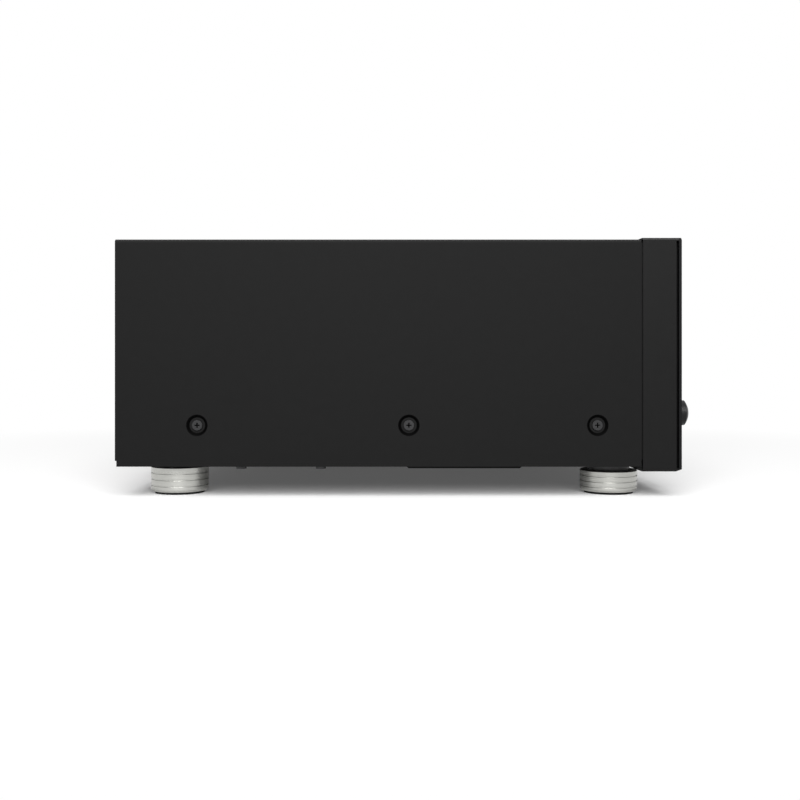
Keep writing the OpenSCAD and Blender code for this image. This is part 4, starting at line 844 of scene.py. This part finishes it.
FLOOR_SIZE = 12  # half the floor's width
GLOW_REACH = 0.45  # the floor is white from this far outside the receiver's footprint
GLOW_CURVE = 0.4  # below 1, so that most of the change, painted light that lightens the receiver's shadow, is close to the receiver
GLOW_LEAST = 0.09  # share of white glow under the receiver: painted light that lifts its shade
AMBIENT = 0.26  # the backdrop's light on the receiver; the camera sees it white
AIM = (0, 0, 0.1)
CAMERA_PLACE = (-0.854, 0.0009, 0.085)
CAMERA_TURN = (90, 0, -90)  # level, looking at the receiver's left side as seen from its front
LENS = 42.8
SENSOR = 36.0
FRAME_SHIFT = -0.035


def white_floor():
    """Matt white paper that turns to the white of the backdrop away from the receiver; the glow is
    painted light that grows outwards from the receiver's footprint, lightening its shadow and
    lifting the shade under it.
    """
    material = bpy.data.materials.new("white_paper_floor")
    material.use_nodes = True
    tree = material.node_tree
    tree.nodes.clear()
    paper = add_node(tree, "ShaderNodeBsdfDiffuse", {"Color": linear("#f7f7f7")})
    glow = add_node(tree, "ShaderNodeEmission", {"Color": (1, 1, 1, 1), "Strength": 1.0})
    place = add_node(tree, "ShaderNodeTexCoord").outputs["Object"]
    folded = add_node(tree, "ShaderNodeVectorMath", {0: place}, operation="ABSOLUTE")
    corner = (HALF_WIDTH * MM, REAR_Y * MM, 0)
    past_corner = add_node(tree, "ShaderNodeVectorMath", {0: folded.outputs["Vector"], 1: corner},
                           operation="SUBTRACT")
    outside = add_node(tree, "ShaderNodeVectorMath",
                       {0: past_corner.outputs["Vector"], 1: (0, 0, 0)}, operation="MAXIMUM")
    reach = add_node(tree, "ShaderNodeVectorMath", {0: outside.outputs["Vector"]},
                     operation="LENGTH")
    near = add_node(tree, "ShaderNodeMapRange",
                    {"Value": reach.outputs["Value"], "From Max": GLOW_REACH})
    curve = add_node(tree, "ShaderNodeMath", {0: near.outputs["Result"], 1: GLOW_CURVE},
                     operation="POWER")
    far = add_node(tree, "ShaderNodeMapRange", {"Value": curve.outputs[0], "To Min": GLOW_LEAST})
    share = add_node(tree, "ShaderNodeMath", {0: far.outputs["Result"], 1: seen_ray(tree)},
                     operation="MULTIPLY")
    both = add_node(tree, "ShaderNodeMixShader",
                    {0: share.outputs[0], 1: paper.outputs[0], 2: glow.outputs[0]})
    add_node(tree, "ShaderNodeOutputMaterial", {"Surface": both.outputs[0]})
    return material


def seen_ray(tree):
    """1 for rays that show the background: straight, by a reflection or through glass."""
    path = add_node(tree, "ShaderNodeLightPath")
    first = add_node(tree, "ShaderNodeMath",
                     {0: path.outputs["Is Camera Ray"], 1: path.outputs["Is Glossy Ray"]},
                     operation="MAXIMUM")
    both = add_node(tree, "ShaderNodeMath",
                    {0: first.outputs[0], 1: path.outputs["Is Transmission Ray"]},
                    operation="MAXIMUM")
    return both.outputs[0]


def soft_box(name, place, size, power):
    """A square area lamp facing the middle of the receiver."""
    lamp = bpy.data.lights.new(name, "AREA")
    lamp.size = size
    lamp.energy = power
    holder = bpy.data.objects.new(name, lamp)
    holder.location = place
    holder.rotation_euler = (Vector(AIM) - Vector(place)).to_track_quat("-Z", "Y").to_euler()
    scene.collection.objects.link(holder)


bm = bmesh.new()
bmesh.ops.create_grid(bm, x_segments=1, y_segments=1, size=FLOOR_SIZE)
floor_mesh = bpy.data.meshes.new("floor")
bm.to_mesh(floor_mesh)
bm.free()
floor = bpy.data.objects.new("floor", floor_mesh)
scene.collection.objects.link(floor)
floor_mesh.materials.append(white_floor())

world = bpy.data.worlds.new("white_studio")
scene.world = world
world.use_nodes = True
sky = world.node_tree
sky.nodes.clear()
level = add_node(sky, "ShaderNodeMapRange",
                 {"Value": seen_ray(sky), "To Min": AMBIENT, "To Max": 1.0})
backdrop = add_node(sky, "ShaderNodeBackground",
                    {"Color": (1, 1, 1, 1), "Strength": level.outputs["Result"]})
add_node(sky, "ShaderNodeOutputWorld", {"Surface": backdrop.outputs[0]})

soft_box("overhead_light", place=(0, 0, 2.4), size=2.4, power=8)
soft_box("side_light", place=(-1.75, 0.02, 1.12), size=1.5, power=69)

camera_data = bpy.data.cameras.new("camera")
camera_data.sensor_width = SENSOR
camera_data.lens = LENS
camera_data.shift_y = FRAME_SHIFT
camera_data.clip_start = 0.01
camera = bpy.data.objects.new("camera", camera_data)
camera.location = CAMERA_PLACE
camera.rotation_euler = [math.radians(angle) for angle in CAMERA_TURN]
scene.collection.objects.link(camera)
scene.camera = camera
scene.view_settings.view_transform = "Standard"
